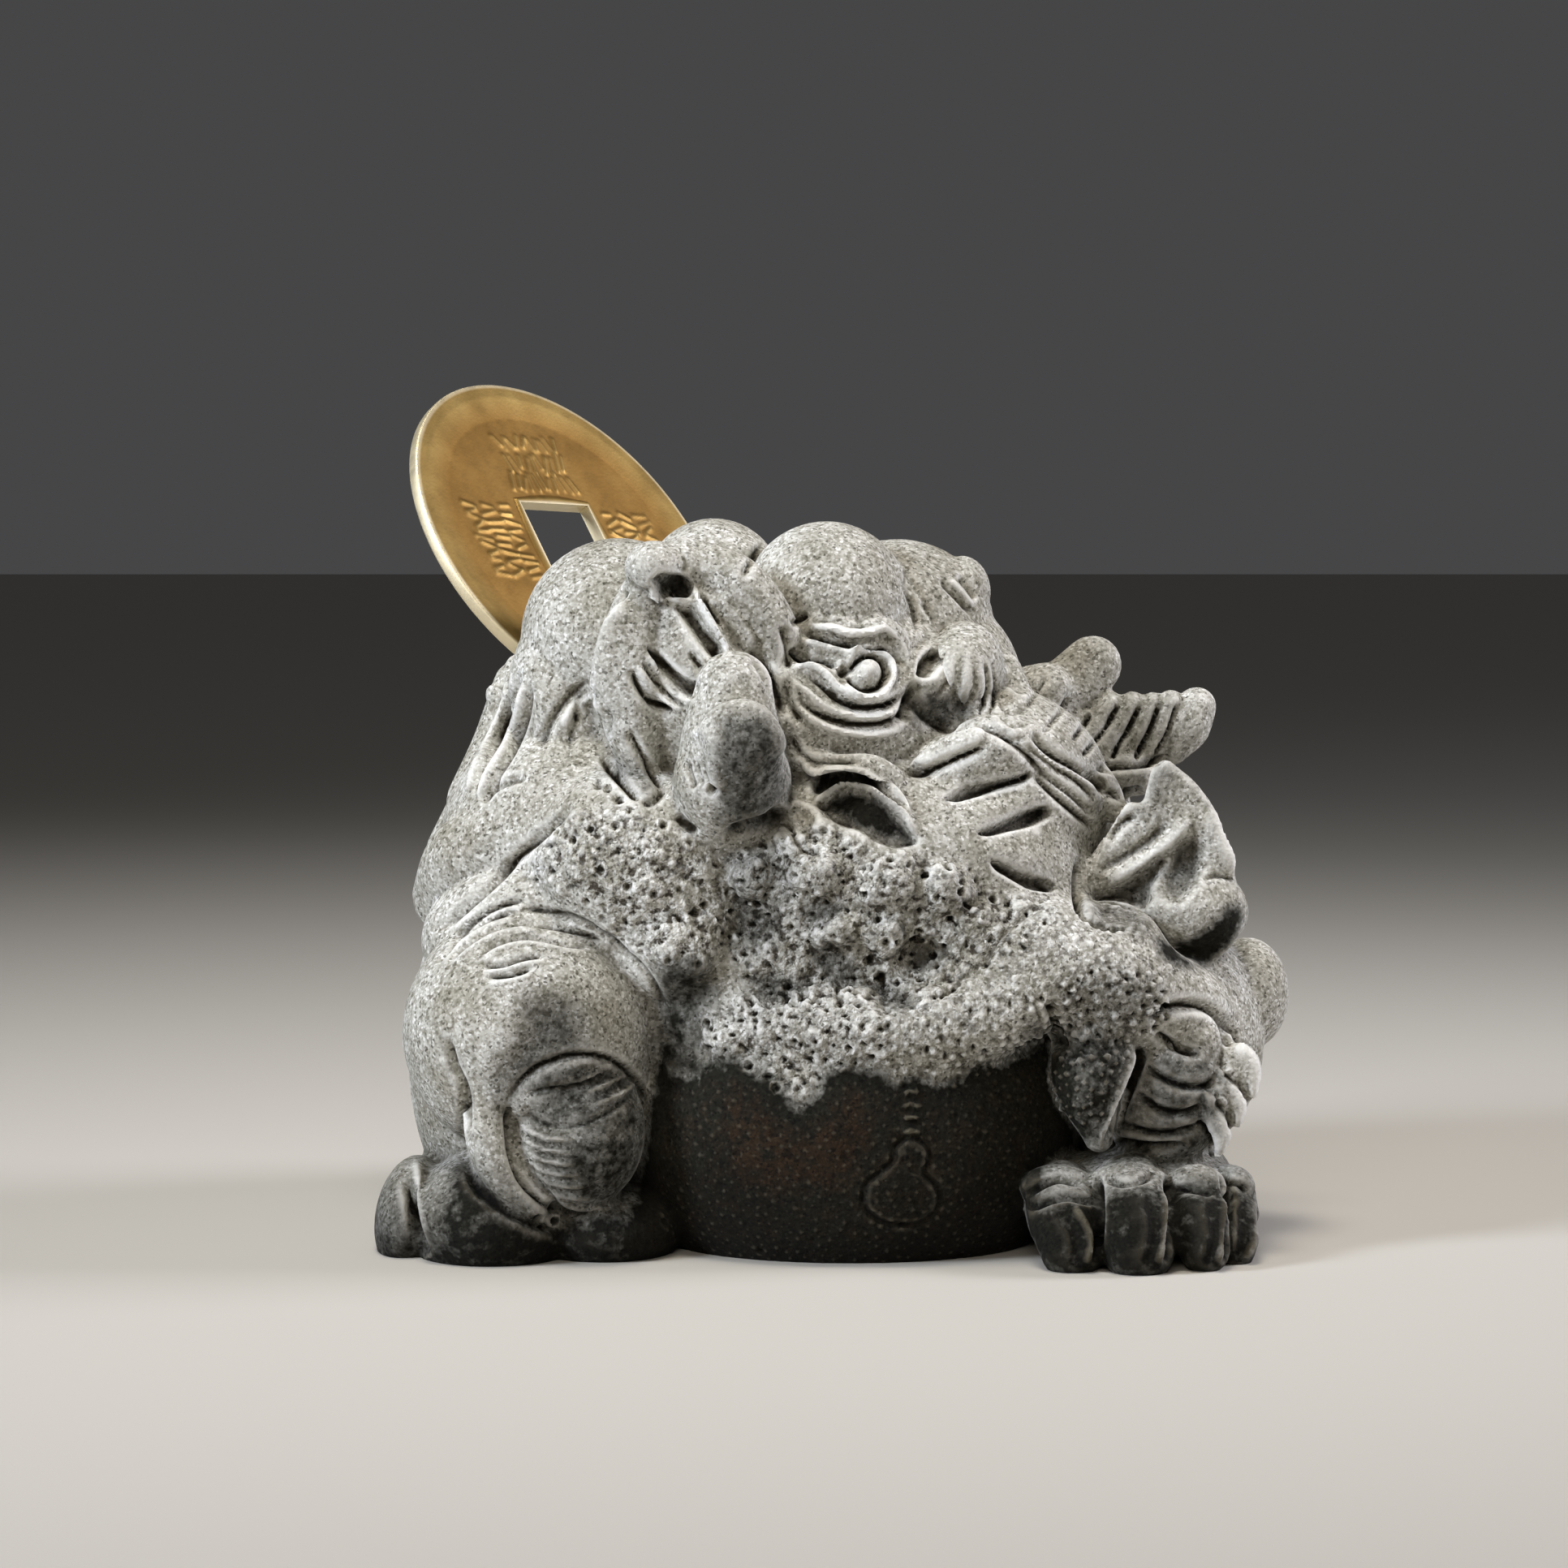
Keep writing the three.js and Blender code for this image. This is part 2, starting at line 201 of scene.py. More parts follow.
class Clay:
    """Closed shapes that may overlap, before one skin is drawn over them."""

    def __init__(self):
        self.bm = bmesh.new()

    def egg(self, centre, radii, lean=0, swing=0):
        """An egg-shaped lump. lean turns it clockwise as the eye sees it, and swing about the upright."""
        turn = Matrix.Rotation(math.radians(swing), 4, "Z") @ Matrix.Rotation(math.radians(lean), 4, "Y")
        place = Matrix.Scale(UNIT, 4) @ Matrix.Translation(centre) @ turn @ Matrix.Diagonal((*radii, 1))
        shape = bmesh.new()
        bmesh.ops.create_icosphere(shape, subdivisions=4 if max(radii) > 6 else 3, radius=1, matrix=place)
        self.take(shape)

    def take(self, shape):
        """Adds a closed shape, and lets go of it."""
        mesh = mesh_of(shape, "shape")
        self.bm.from_mesh(mesh)
        bpy.data.meshes.remove(mesh)

    def form(self, place, radii, lean=0, swing=0):
        """An egg-shaped lump at a place on the sheet."""
        self.egg(seen(place), radii, lean, swing)

    def bend(self, places, radii, flat=1):
        """A round-ended roll through places on the sheet."""
        self.roll([seen(place) for place in places], radii, flat)

    def roll(self, points, radii, flat=1):
        """A round-ended roll, with radii spread evenly along it. Its depth is a share of its width."""
        cap = 5
        line = course(points, ROLL_STEP)
        tangents = np.gradient(line, axis=0)
        tangents /= np.linalg.norm(tangents, axis=1)[:, None]
        sides = np.cross(tangents, (0, 1, 0))
        sides /= np.linalg.norm(sides, axis=1)[:, None]
        deeps = np.cross(sides, tangents)
        sizes = np.interp(np.linspace(0, 1, len(line)), np.linspace(0, 1, len(radii)), radii)
        rows = 2 * cap + len(line) - 1
        shape = bmesh.new()
        bmesh.ops.create_uvsphere(shape, u_segments=20, v_segments=rows, radius=1)
        for vert in shape.verts:
            row = round(math.acos(max(-1, min(1, vert.co.z))) / math.pi * rows)
            angle = math.atan2(vert.co.y, vert.co.x)
            i = min(max(row - cap, 0), len(line) - 1)
            past = max(0, cap - row, row - (rows - cap)) / cap * math.pi / 2
            along = math.copysign(math.sin(past), row - cap) * sizes[i]
            out = math.cos(past) * sizes[i]
            place = line[i] + tangents[i] * along + sides[i] * out * math.cos(angle)
            vert.co = (place + deeps[i] * out * flat * math.sin(angle)) * UNIT
        self.take(shape)

    def slab(self, outline, front, back, taper):
        """A plate between two depths, with an outline of pixels. Its back is a share of its front's size."""
        shape = bmesh.new()
        line = round_course(outline, PLATE_STEP)[:-1]
        ring = [shape.verts.new(seen((*on_sheet(u, v), front)) * UNIT) for u, v in line]
        walls = bmesh.ops.extrude_face_region(shape, geom=[shape.faces.new(ring)])
        middle = sum((vert.co for vert in ring), Vector()) / len(ring)
        eye = SHEET_EYE * UNIT
        for vert in [v for v in walls["geom"] if isinstance(v, bmesh.types.BMVert)]:
            place = middle + (vert.co - middle) * taper
            vert.co = eye + (place - eye) * ((back - SHEET_EYE.y) / (front - SHEET_EYE.y))
        self.take(shape)

    def skin(self, name, voxel):
        """One skin over all the shapes."""
        bmesh.ops.recalc_face_normals(self.bm, faces=self.bm.faces)
        piece = new_object(name, mesh_of(self.bm, name))
        remesh = piece.modifiers.new("skin", "REMESH")
        remesh.mode = "VOXEL"
        remesh.voxel_size = voxel
        return applied(piece)


def applied(piece):
    """Makes a piece's modifiers part of its mesh."""
    graph = bpy.context.evaluated_depsgraph_get()
    mesh = bpy.data.meshes.new_from_object(piece.evaluated_get(graph))
    old = piece.data
    piece.modifiers.clear()
    piece.data = mesh
    bpy.data.meshes.remove(old)
    return piece


class Surface:
    """A mesh's points, with what carving needs: normals, neighbours, and where the camera sees each point."""

    def __init__(self, piece):
        self.piece = piece
        self.mesh = piece.data
        count = len(self.mesh.vertices)
        self.points = np.empty((count, 3), np.float32)
        self.mesh.vertices.foreach_get("co", self.points.ravel())
        self.points = self.points.astype(float)
        self.edges = np.empty((len(self.mesh.edges), 2), np.int32)
        self.mesh.edges.foreach_get("vertices", self.edges.ravel())
        self.share = np.maximum(np.bincount(self.edges.ravel(), minlength=count), 1)
        self.lift = np.zeros(count)
        self.look()

    def blur(self, values, rounds, strength=0.5):
        """Values of the points, evened out with their neighbours'."""
        a, b = self.edges.T
        values = np.array(values, float)
        columns = values.reshape(len(values), -1)
        for _ in range(rounds):
            for k in range(columns.shape[1]):
                column = columns[:, k]
                total = np.bincount(a, column[b], len(column)) + np.bincount(b, column[a], len(column))
                column += strength * (total / self.share - column)
        return columns.reshape(values.shape)

    def smooth(self, rounds, where=1):
        """Softens the surface, all over or by a share for each point."""
        softer = self.blur(self.points, rounds)
        self.points += (softer - self.points) * np.reshape(where, (-1, 1))
        self.store()

    def store(self):
        """Gives the mesh the points' new places."""
        self.mesh.vertices.foreach_set("co", self.points.astype(np.float32).ravel())
        self.mesh.update()

    def look(self):
        """Finds the normals, and which points the camera sees, and where."""
        normals = np.empty(len(self.points) * 3, np.float32)
        self.mesh.vertex_normals.foreach_get("vector", normals)
        self.normals = normals.reshape(-1, 3).astype(float)
        self.tree = None
        away = self.points - np.array(EYE)
        scale = PIXELS / 2 * DISTANCE / HALF_FIELD / (away @ np.array(LOOK))
        self.pixels = PIXELS / 2 + np.stack([away[:, 0] * scale, -(away @ np.array(RISE)) * scale], axis=1)
        facing = -(away * self.normals).sum(1) / np.linalg.norm(away, axis=1)
        tree = BVHTree.FromObject(self.piece, bpy.context.evaluated_depsgraph_get())
        self.seen = np.clip(facing * 4, 0, 1)
        for i in np.nonzero(facing > 0)[0]:
            start = Vector(self.points[i] + self.normals[i] * SIGHT_START)
            if tree.ray_cast(start, (EYE - start).normalized(), SIGHT_LENGTH)[0]:
                self.seen[i] = 0

    def settle(self):
        """Moves the points by what has been carved, along their normals, and looks again."""
        self.points += self.normals * self.lift[:, None]
        self.lift[:] = 0
        self.store()
        self.look()

    def unseen(self, rounds):
        """1 at points away from all that the camera sees, and 0 near it. More rounds keep further away."""
        return np.clip(1 - 500 * self.blur(self.seen > 0, rounds), 0, 1)

    def hollow(self, rounds):
        """How many millimetres each point lies below the surface around it. More rounds look further."""
        return ((self.blur(self.points, rounds) - self.points) * self.normals).sum(1)

    def beside(self, line, reach):
        """The seen points near a line of pixels: numbers, distances, shares along it, and 1 on its right."""
        line = np.array(line, float)
        low, high = line.min(0) - reach, line.max(0) + reach
        inside = (self.pixels > low).all(1) & (self.pixels < high).all(1) & (self.seen > 0)
        ids = np.nonzero(inside)[0]
        at = self.pixels[ids]
        best = np.full(len(ids), np.inf)
        share = np.zeros(len(ids))
        side = np.ones(len(ids))
        for i, (a, b) in enumerate(zip(line, line[1:])):
            way = b - a
            t = np.clip((at - a) @ way / (way @ way), 0, 1)
            off = at - a - t[:, None] * way
            far = np.hypot(off[:, 0], off[:, 1])
            closer = far < best
            best[closer] = far[closer]
            share[closer] = (i + t[closer]) / (len(line) - 1)
            side[closer] = np.sign(way[0] * off[closer, 1] - way[1] * off[closer, 0])
        near = best < reach
        return ids[near], best[near], share[near], side[near]

    def bead(self, points, wide, high, fade=0.2):
        """A rounded ridge along a line of pixels, wide millimetres to each side. It fades in at both ends."""
        ids, far, share, _ = self.beside(course(points, STROKE_STEP), wide * (STROKE_REACH * PER_UNIT))
        ends = np.clip(np.minimum(share, 1 - share) / fade, 0, 1) if fade else 1
        ends = np.sin(ends * math.pi / 2)
        self.lift[ids] += high * np.exp(-((far / (wide * PER_UNIT)) ** 2)) * ends * self.seen[ids]

    def score(self, points, wide, deep, fade=0.2):
        """A groove along a line of pixels."""
        self.bead(points, wide, -deep, fade)

    def ledge(self, points, wide, high, fade=0.15):
        """A step along a line of pixels: the right side of its way stands proud and dies away."""
        ids, far, share, side = self.beside(course(points, STROKE_STEP), wide * (LEDGE_REACH * PER_UNIT))
        ends = np.sin(np.clip(np.minimum(share, 1 - share) / fade, 0, 1) * math.pi / 2)
        step = 1 / (1 + np.exp(-(far * side / PER_UNIT) / LEDGE_EDGE))
        self.lift[ids] += high * step * np.exp(-((far / (wide * PER_UNIT)) ** 2)) * ends * self.seen[ids]

    def within(self, outline, reach=0):
        """The seen points inside an outline or near it: numbers, and how many pixels inside it they lie."""
        line = round_course(outline, STROKE_STEP)
        low, high = line.min(0) - reach, line.max(0) + reach
        box = (self.pixels > low).all(1) & (self.pixels < high).all(1) & (self.seen > 0)
        ids = np.nonzero(box)[0]
        x, y = self.pixels[ids].T
        inside = np.zeros(len(ids), bool)
        far = np.full(len(ids), np.inf)
        for a, b in zip(line, line[1:]):
            way = b - a
            t = np.clip(((x - a[0]) * way[0] + (y - a[1]) * way[1]) / (way @ way), 0, 1)
            far = np.minimum(far, np.hypot(x - a[0] - t * way[0], y - a[1] - t * way[1]))
            inside ^= ((a[1] > y) != (b[1] > y)) & (x < a[0] + (y - a[1]) * way[0] / (way[1] or 1e-9))
        depth = np.where(inside, far, -far)
        kept = depth > -reach
        return ids[kept], depth[kept]

    def soften(self, outlines, soft, rounds):
        """Melts the surface inside outlines, with edges that are soft pixels to each side."""
        where = np.zeros(len(self.points))
        for outline in outlines:
            ids, depth = self.within(outline, soft)
            where[ids] = np.maximum(where[ids], np.clip(0.5 + depth / soft / 2, 0, 1))
        self.smooth(rounds, where)
        self.look()

    def swell(self, outline, high, soft):
        """Raises an area, or sinks it, with edges that are soft pixels to each side."""
        ids, depth = self.within(outline, soft)
        share = np.clip(0.5 + depth / soft / 2, 0, 1)
        self.lift[ids] += high * share * share * (3 - 2 * share) * self.seen[ids]

    def pillow(self, outline, high, edge):
        """Raises an area like a flap: steep at its outline and round over edge pixels."""
        ids, depth = self.within(outline)
        share = np.clip(depth / edge, 0, 1)
        self.lift[ids] += high * np.sqrt(share * (2 - share)) * self.seen[ids]

    def dome(self, centre, radius, high):
        """Raises a round area of pixels as a dome, or sinks it as a hollow."""
        off = np.hypot(*(self.pixels - np.array(centre)).T) / radius
        ids = np.nonzero((off < 1) & (self.seen > 0))[0]
        self.lift[ids] += high * (1 - off[ids] ** 2) ** 1.5 * self.seen[ids]

    def scatter(self, ids, spacing, seed):
        """Some of the numbered points, picked by chance at least spacing millimetres apart."""
        order = np.random.RandomState(seed).permutation(ids)
        cells = {}
        picked = []
        for i in order:
            p = self.points[i]
            key = tuple((p // spacing).astype(int))
            around = [
                q
                for dx in (-1, 0, 1)
                for dy in (-1, 0, 1)
                for dz in (-1, 0, 1)
                for q in cells.get((key[0] + dx, key[1] + dy, key[2] + dz), ())
            ]
            if all(((p - q) ** 2).sum() > spacing**2 for q in around):
                cells.setdefault(key, []).append(p)
                picked.append(i)
        return picked

    def dots(self, centres, radii, highs, rim=0):
        """Round bumps, or pits with a raised rim, at numbered points."""
        if self.tree is None:
            self.tree = nearest_finder(self.points)
        for centre, radius, high in zip(centres, radii, highs):
            found = self.tree.find_range(self.points[centre], radius * 2.2)
            ids = np.array([i for _, i, _ in found])
            far = np.array([d for _, _, d in found]) / radius
            same = (self.normals[ids] @ self.normals[centre]) > 0
            shape = np.exp(-((far * 1.25) ** 4)) - rim * np.exp(-(((far - 1.25) * 3) ** 2))
            self.lift[ids] += high * shape * same

    def pits(self, outline, spacing, radius, deep, seed, rim=0.3):
        """Pits by chance inside an outline of pixels. Sizes are in millimetres."""
        ids, _ = self.within(outline)
        chosen = self.scatter(ids, spacing, seed)
        vary = np.random.RandomState(seed + 1).uniform(0.4, 1, len(chosen)) ** 1.4
        self.dots(chosen, radius * (0.5 + 0.7 * vary), -deep * vary, rim)

    def grains(self, outline, spacing, radius, high, seed):
        """Small rounded grains standing proud by chance inside an outline of pixels."""
        ids, _ = self.within(outline)
        chosen = self.scatter(ids, spacing, seed)
        vary = np.random.RandomState(seed + 1).uniform(0.5, 1.2, len(chosen))
        self.dots(chosen, radius * vary, high * vary)

    def nicks(self, outline, spacing, long, deep, turn, seed):
        """Short cuts by chance inside an outline, about long pixels and turned clockwise."""
        ids, _ = self.within(outline)
        chance = np.random.RandomState(seed)
        for i in self.scatter(ids, spacing, seed):
            angle = math.radians(turn + chance.uniform(-25, 25))
            half = np.array([math.cos(angle), math.sin(angle)]) * long * chance.uniform(0.3, 0.6)
            middle = self.pixels[i]
            self.score([middle - half, middle + half], 0.28, deep * chance.uniform(0.4, 1), 0.3)


# The masses of the body, each as its place on the sheet and its radii.
TRUNK = [
    ((0, 36, 6), (43, 36, 35)),
    ((1, 32, 20), (37, 28, 31)),
    ((-2, 57, 12), (31, 25, 26)),
    ((-20, 61, 13), (22, 22, 18.5)),
    ((14, 56, 10), (23, 24, 19)),
    ((2, 18, -12), (28, 23, 24)),
    ((4.4, 47, -14), (26.4, 17, 17)),
]


def on_back(x, z):
    """The point of the trunk's back at x and z, in units."""
    depths = []
    for place, radii in TRUNK:
        centre = seen(place)
        left = 1 - ((x - centre.x) / radii[0]) ** 2 - ((z - centre.z) / radii[2]) ** 2
        if left > 0:
            depths.append(centre.y + radii[1] * math.sqrt(left))
    return Vector((x, max(depths), z))


def trunk():
    """The masses that run into each other, under one soft skin."""
    clay = Clay()
    for place, radii in TRUNK:
        clay.form(place, radii)
    clay.form((-29.6, 52.4, -5), (18.4, 18, 15.6), 2)
    clay.form((-23, 49, -20), (14, 10, 12), 20)
    clay.form((17, 58, -8), (17, 15, 14))
    roll = [(-16, 30.4, -23.6), (-11, 30, -26.6), (-4, 29.4, -29.4), (6, 28.8, -30.6)]
    roll += [(16, 30, -29.6), (26, 35, -27), (34, 38, -22)]
    clay.bend(roll, (2.6, 3.6, 4.4, 4.8, 5.2, 6.2, 7))
    clay.bend([(12, 35, -24), (24, 38, -25), (34, 34.6, -24), (42, 30.4, -19)], (6, 7.4, 7.4, 7))
    clay.form((42, 28, -8), (11, 14, 14.4))
    clay.egg((0, 39, 13), (12, 12, 14))
    body = clay.skin("trunk", COARSE_VOXEL)
    Surface(body).smooth(8)
    return body


# The chest's larger warts, each as its pixel, depth and radius.
WARTS = [
    (1010, 1076, -28.4, 3.7),
    (1093, 1086, -28.4, 4.2),
    (1160, 1096, -28, 3.7),
    (1200, 1142, -26.8, 4),
    (1030, 1142, -28.8, 3),
    (955, 1172, -26.2, 3.6),
    (1090, 1152, -29, 2.8),
    (1092, 1192, -26.8, 3.1),
    (930, 1082, -26.8, 3.2),
    (982, 1052, -27.6, 2.6),
    (1166, 1150, -28, 2.2),
    (900, 1286, -28.8, 2.3),
    (980, 1330, -29.4, 3.2),
    (1045, 1294, -31.4, 2.3),
    (840, 1318, -25.2, 2.1),
]


def chest(clay):
    """The warts that stand proud of the chest, and two fillings behind them."""
    clay.form((-19, 40, -22), (8, 8, 8))
    clay.form((5, 54, -23.5), (6, 6, 6))
    for x, y, depth, radius in WARTS:
        clay.form((*on_sheet(x, y), depth), (radius, radius, radius))


def left_shoulder(clay):
    """The folded bands over the shoulder at the viewer's left."""
    clay.bend([(-31, 58, -15), (-38, 53.4, -14.5), (-44.4, 49.4, -11), (-46.6, 45.6, -7)], (4, 5.6, 6, 5))
    clay.bend([(-37, 71, 2), (-39.4, 66, 0), (-42.4, 58, -2), (-45, 50.6, -2)], (3, 3.2, 4, 5))
    clay.bend([(-38.6, 71.4, -1), (-40.6, 64, -2.4), (-43, 57, -4)], (3, 3.6, 4.4))
    clay.bend([(-38.8, 74, -2), (-39.8, 70.6, -3), (-41, 67.6, -3)], (1.2, 1.4, 1.2))
    clay.form((-41.4, 70.2, -3), (1.2, 1.4, 1.4))
    clay.form((-37, 43.4, -13), (14, 11, 8.6), -24)


def left_leg(clay):
    """The big knee at the viewer's left, its kneecap, the strap beside that, and the foot."""
    clay.form((-37, 28.8, -19), (15.4, 16, 15))
    clay.form((-42, 26, -8), (10, 16, 20))
    clay.form((-31.2, 16.5, -27), (7.8, 7.4, 9.2))
    clay.form((-34.6, 15.6, -27.4), (5.2, 6, 7.6), -8)
    clay.form((-28, 4.6, -20), (9.4, 11, 5.8))
    clay.form((-31, 42.4, -20), (8, 5, 3.4), 20)
    clay.bend([(-49.8, 27, -12), (-48.4, 20.6, -15), (-46.6, 14.6, -17)], (2.8, 2.8, 1.6), 1.6)
    strap = [(-42, 27, -27.6), (-42.4, 20, -30.4), (-41.8, 14, -31.4), (-39.6, 10, -31.4), (-36.6, 7.6, -31)]
    clay.bend(strap, (3.4, 3, 3, 2.8, 2))
    clay.form((-41.6, 5.6, -22), (10.4, 12, 8.6), -4)
    clay.form((-52, 6, -19), (4.2, 9, 7.2), 10)
    clay.form((-46, 7.4, -13), (8, 10, 7))


ELBOW_PLATES = [
    [(1508, 1288), (1530, 1286), (1546, 1300), (1551, 1324), (1541, 1356), (1532, 1340), (1518, 1326),
     (1506, 1320)],
    [(1498, 1316), (1516, 1322), (1531, 1345), (1532, 1370), (1520, 1391), (1512, 1370), (1496, 1350)],
    [(1484, 1344), (1502, 1354), (1514, 1380), (1512, 1406), (1498, 1424), (1494, 1396), (1480, 1376)],
]


def right_arm(clay):
    """The forearm at the viewer's right, the flap beside it, and the plates behind its elbow."""
    clay.form((51.1, 33.5, -5), (4.9, 8, 6.8))
    clay.form((48.2, 29.6, -13.4), (3, 4, 4))
    clay.bend([(43.4, 27, -20.4), (41.8, 22.6, -21), (40.6, 18.4, -21)], (5.8, 7.4, 6.6))
    clay.bend([(32.4, 29, -25), (31.6, 22, -27), (32.8, 15.6, -27.5)], (5.4, 4.4, 1.8))
    for i, outline in enumerate(ELBOW_PLATES):
        clay.slab(outline, -24.4 - i, -10, 0.5)


# Each claw's knuckle, tip and half width.
CLAWS = [
    {"top": (28, 8.2, -25), "tip": (29.6, 1.8, -34), "wide": 4.5},
    {"top": (36.7, 8.4, -26), "tip": (37.8, 1.8, -35.4), "wide": 5},
    {"top": (45, 8.2, -25), "tip": (45.9, 1.8, -34), "wide": 3.6},
    {"top": (49, 8.2, -20.6), "tip": (49.4, 1.8, -29), "wide": 3.2},
]


def right_foot(clay):
    """The foot with its claws, and a knuckle over each claw."""
    clay.form((38, 7, -19), (14, 12, 7.4))
    clay.form((38, 8, -6), (12, 18, 10))
    clay.form((38, 4, -23), (13, 5.6, 5))
    for claw in CLAWS:
        top, tip, wide = claw["top"], claw["tip"], claw["wide"]
        middle = (tip[0] - 0.6, top[1] * 0.55, tip[2] + 1.4)
        clay.bend([top, middle, tip], (wide, wide, wide, wide * 0.86))
        clay.form((top[0] - 0.2, top[1] + 1.2, top[2] - 3.4), (wide * 1.02, 3, 2.8))


def head(clay):
    """The skull, the domes over the eyes, the near eye with its lid, the ear and the cheek."""
    clay.form((-6, 68, -4), (26, 21, 17))
    clay.form(*BROW)
    clay.form((-14.6, 84, -1), (8.2, 10, 7.8))
    clay.form((-26.2, 77, -5), (11.9, 12, 12.3))
    clay.form((-32.4, 68, -6), (6.8, 9, 12), -12)
    clay.form((8.6, 79.4, 1), (11.2, 13, 9.8), 15)
    clay.form((16.4, 83.6, -1), (2.8, 4, 3.8), -20)
    clay.form((14, 70, 0), (9.4, 13, 12))
    clay.form((2.4, 73.2, -15.6), (8.2, 5.4, 7.4))
    lid = [(-3.6, 78.8, -19), (-0.5, 78.8, -19.8), (2.2, 78, -20), (4.6, 78.2, -19.4), (6.4, 78.5, -18.4)]
    lid += [(7.9, 77.2, -17.4), (9, 75.2, -16.6)]
    clay.bend(lid, (0.9, 1.2, 1.2, 1.2, 1.2, 1.2, 1))
    clay.form((15.6, 73, -10), (5.2, 7.4, 6.2), 16)
    clay.bend([(13, 61, -20), (19, 64, -20), (25.6, 62.6, -17), (30, 58, -14)], (3.4, 3.6, 3.6, 3))


def snout(clay):
    """The snout under its hood, the curled tongue, and the lips at the corner of the mouth."""
    clay.form((-16, 73, -15), (11.4, 10.6, 15.4), -10)
    clay.form((-21.9, 85.6, -22), (3.5, 4.2, 3.4))
    side = [(-21.8, 85, -19.6), (-24, 79, -21.4), (-24.7, 72.6, -22), (-24.4, 66, -21.6)]
    clay.bend(side + [(-23.4, 60.4, -20.6)], (2.8, 3.6, 4.1, 3.6, 2.2))
    clay.bend([(-18.4, 86.6, -19), (-12, 84, -20.4), (-7.4, 78.4, -20.6), (-5.6, 71, -20)], (3, 3.4, 3, 2.6))
    clay.form((-18.6, 86, -21), (3, 2.6, 2.8))
    clay.bend([(-12.6, 61, -26), (-12.3, 67.6, -27.6), (-12.1, 70.8, -27.6)], (6.4, 5.8, 4.6))
    clay.bend([(-12.6, 56.6, -22.6), (-12, 61.6, -28.4), (-11, 64.2, -31.6)], (7, 7, 4.8))
    clay.form((-13.4, 55.8, -21), (6.6, 9, 4.4))
    lip = [(-4.6, 63.4, -23), (0, 61.4, -25), (5, 61.2, -25), (9.4, 57.6, -23.6), (11.6, 52.6, -21.6)]
    clay.bend(lip, (1.6, 1.6, 1.6, 1.5, 1.2))
    clay.bend([(-2, 57, -23), (4, 55, -24), (10, 52, -22)], (3, 3.6, 2.6))


# The crest's ribs from the cheek outwards, and the outlines of the fin, its hollows and its shaded underside.
CREST_RIBS = [
    [(1366, 868), (1345, 898), (1318, 930)],
    [(1393, 868), (1376, 900), (1352, 934)],
    [(1418, 869), (1404, 902), (1384, 936)],
    [(1440, 866), (1430, 900), (1414, 932)],
]
FIN = [
    (1417, 948), (1432, 935), (1450, 946), (1476, 970), (1497, 1001), (1506, 1030), (1519, 1053),
    (1522, 1083), (1532, 1112), (1526, 1153), (1504, 1180), (1473, 1192), (1436, 1184), (1408, 1162),
    (1380, 1146), (1341, 1138), (1329, 1110), (1336, 1070), (1360, 1030), (1377, 1004), (1390, 987),
    (1405, 990), (1412, 970),
]
FIN_HOLLOWS = [
    [(1436, 1066), (1452, 1044), (1474, 1034), (1480, 1060), (1470, 1092), (1450, 1108), (1434, 1100)],
    [(1352, 1106), (1400, 1082), (1434, 1056), (1432, 1078), (1414, 1108), (1396, 1134), (1356, 1128)],
]
FIN_UNDERSIDE = [
    (1420, 1156), (1456, 1158), (1490, 1142), (1520, 1112), (1532, 1130), (1512, 1172), (1470, 1192),
    (1438, 1186),
]


def crest(clay):
    """The ribbed crest behind the cheek, and the braid below it."""
    clay.bend([(20.6, 66, 3), (25.6, 69.4, 4), (28.6, 71, 5), (31.8, 73.9, 6)], (7.4, 5.4, 3.9, 3.7), 0.7)
    clay.form((26, 71, 3.4), (3.6, 4, 3.2))
    clay.bend([(22, 62, 4), (33, 64.4, 6), (40, 66, 8)], (8, 5, 3), 0.7)
    web = [(1322, 880), (1350, 874), (1400, 872), (1444, 874), (1440, 920), (1400, 940), (1330, 940),
           (1308, 930)]
    clay.slab(web, 2.3, 8, 0.85)
    for rib in CREST_RIBS:
        clay.bend([(*on_sheet(*place), 4.4) for place in rib], (1.5, 1.9, 1.8), 1.5)
    end = [(*on_sheet(1471, 873), 5.6), (*on_sheet(1462, 900), 5), (*on_sheet(1444, 928), 4)]
    clay.bend(end, (2.5, 2.6, 1.6), 1.4)
    clay.form((35.4, 60.8, 3), (5.6, 4, 3), 8)
    clay.form((32, 64, 4), (6, 3.4, 4.4))
    braid = [(20.6, 73, -7), (22.6, 68.6, -9), (26, 64.4, -10.4), (30.6, 61.2, -11.6)]
    braid += [(33.4, 58.4, -12), (34.6, 56, -12)]
    clay.bend(braid, (2.6, 2.6, 2.6, 2.6, 2.2, 1.6))


def shoulder_fin(clay):
    """The fin on the shoulder at the viewer's right."""
    clay.slab(FIN, -17, -3, 0.7)
    clay.form((43.4, 44.4, -13.6), (7.6, 6.4, 5.6), 14)


def back(clay):
    """The hidden side: a row of studs down the spine, and the third leg, behind in the middle."""
    for i in range(6):
        size = 4.4 - i * 0.3
        clay.egg(on_back(7 - i, 70 - i * 8.4), (size, size, size))
    for x, z in [(15, 46), (25, 34), (28, 50)]:
        for side in (x, -x):
            clay.egg(on_back(side, z), (3.2, 2.6, 3.2))
    clay.egg((0, 46, 4), (8.6, 8, 5.4))
    for x in (-6.4, 0, 6.4):
        clay.roll([(x * 0.7, 46, 4), (x, 50, 3.6), (x * 1.2, 53, 2.4)], (3.6, 3.2, 2.6))


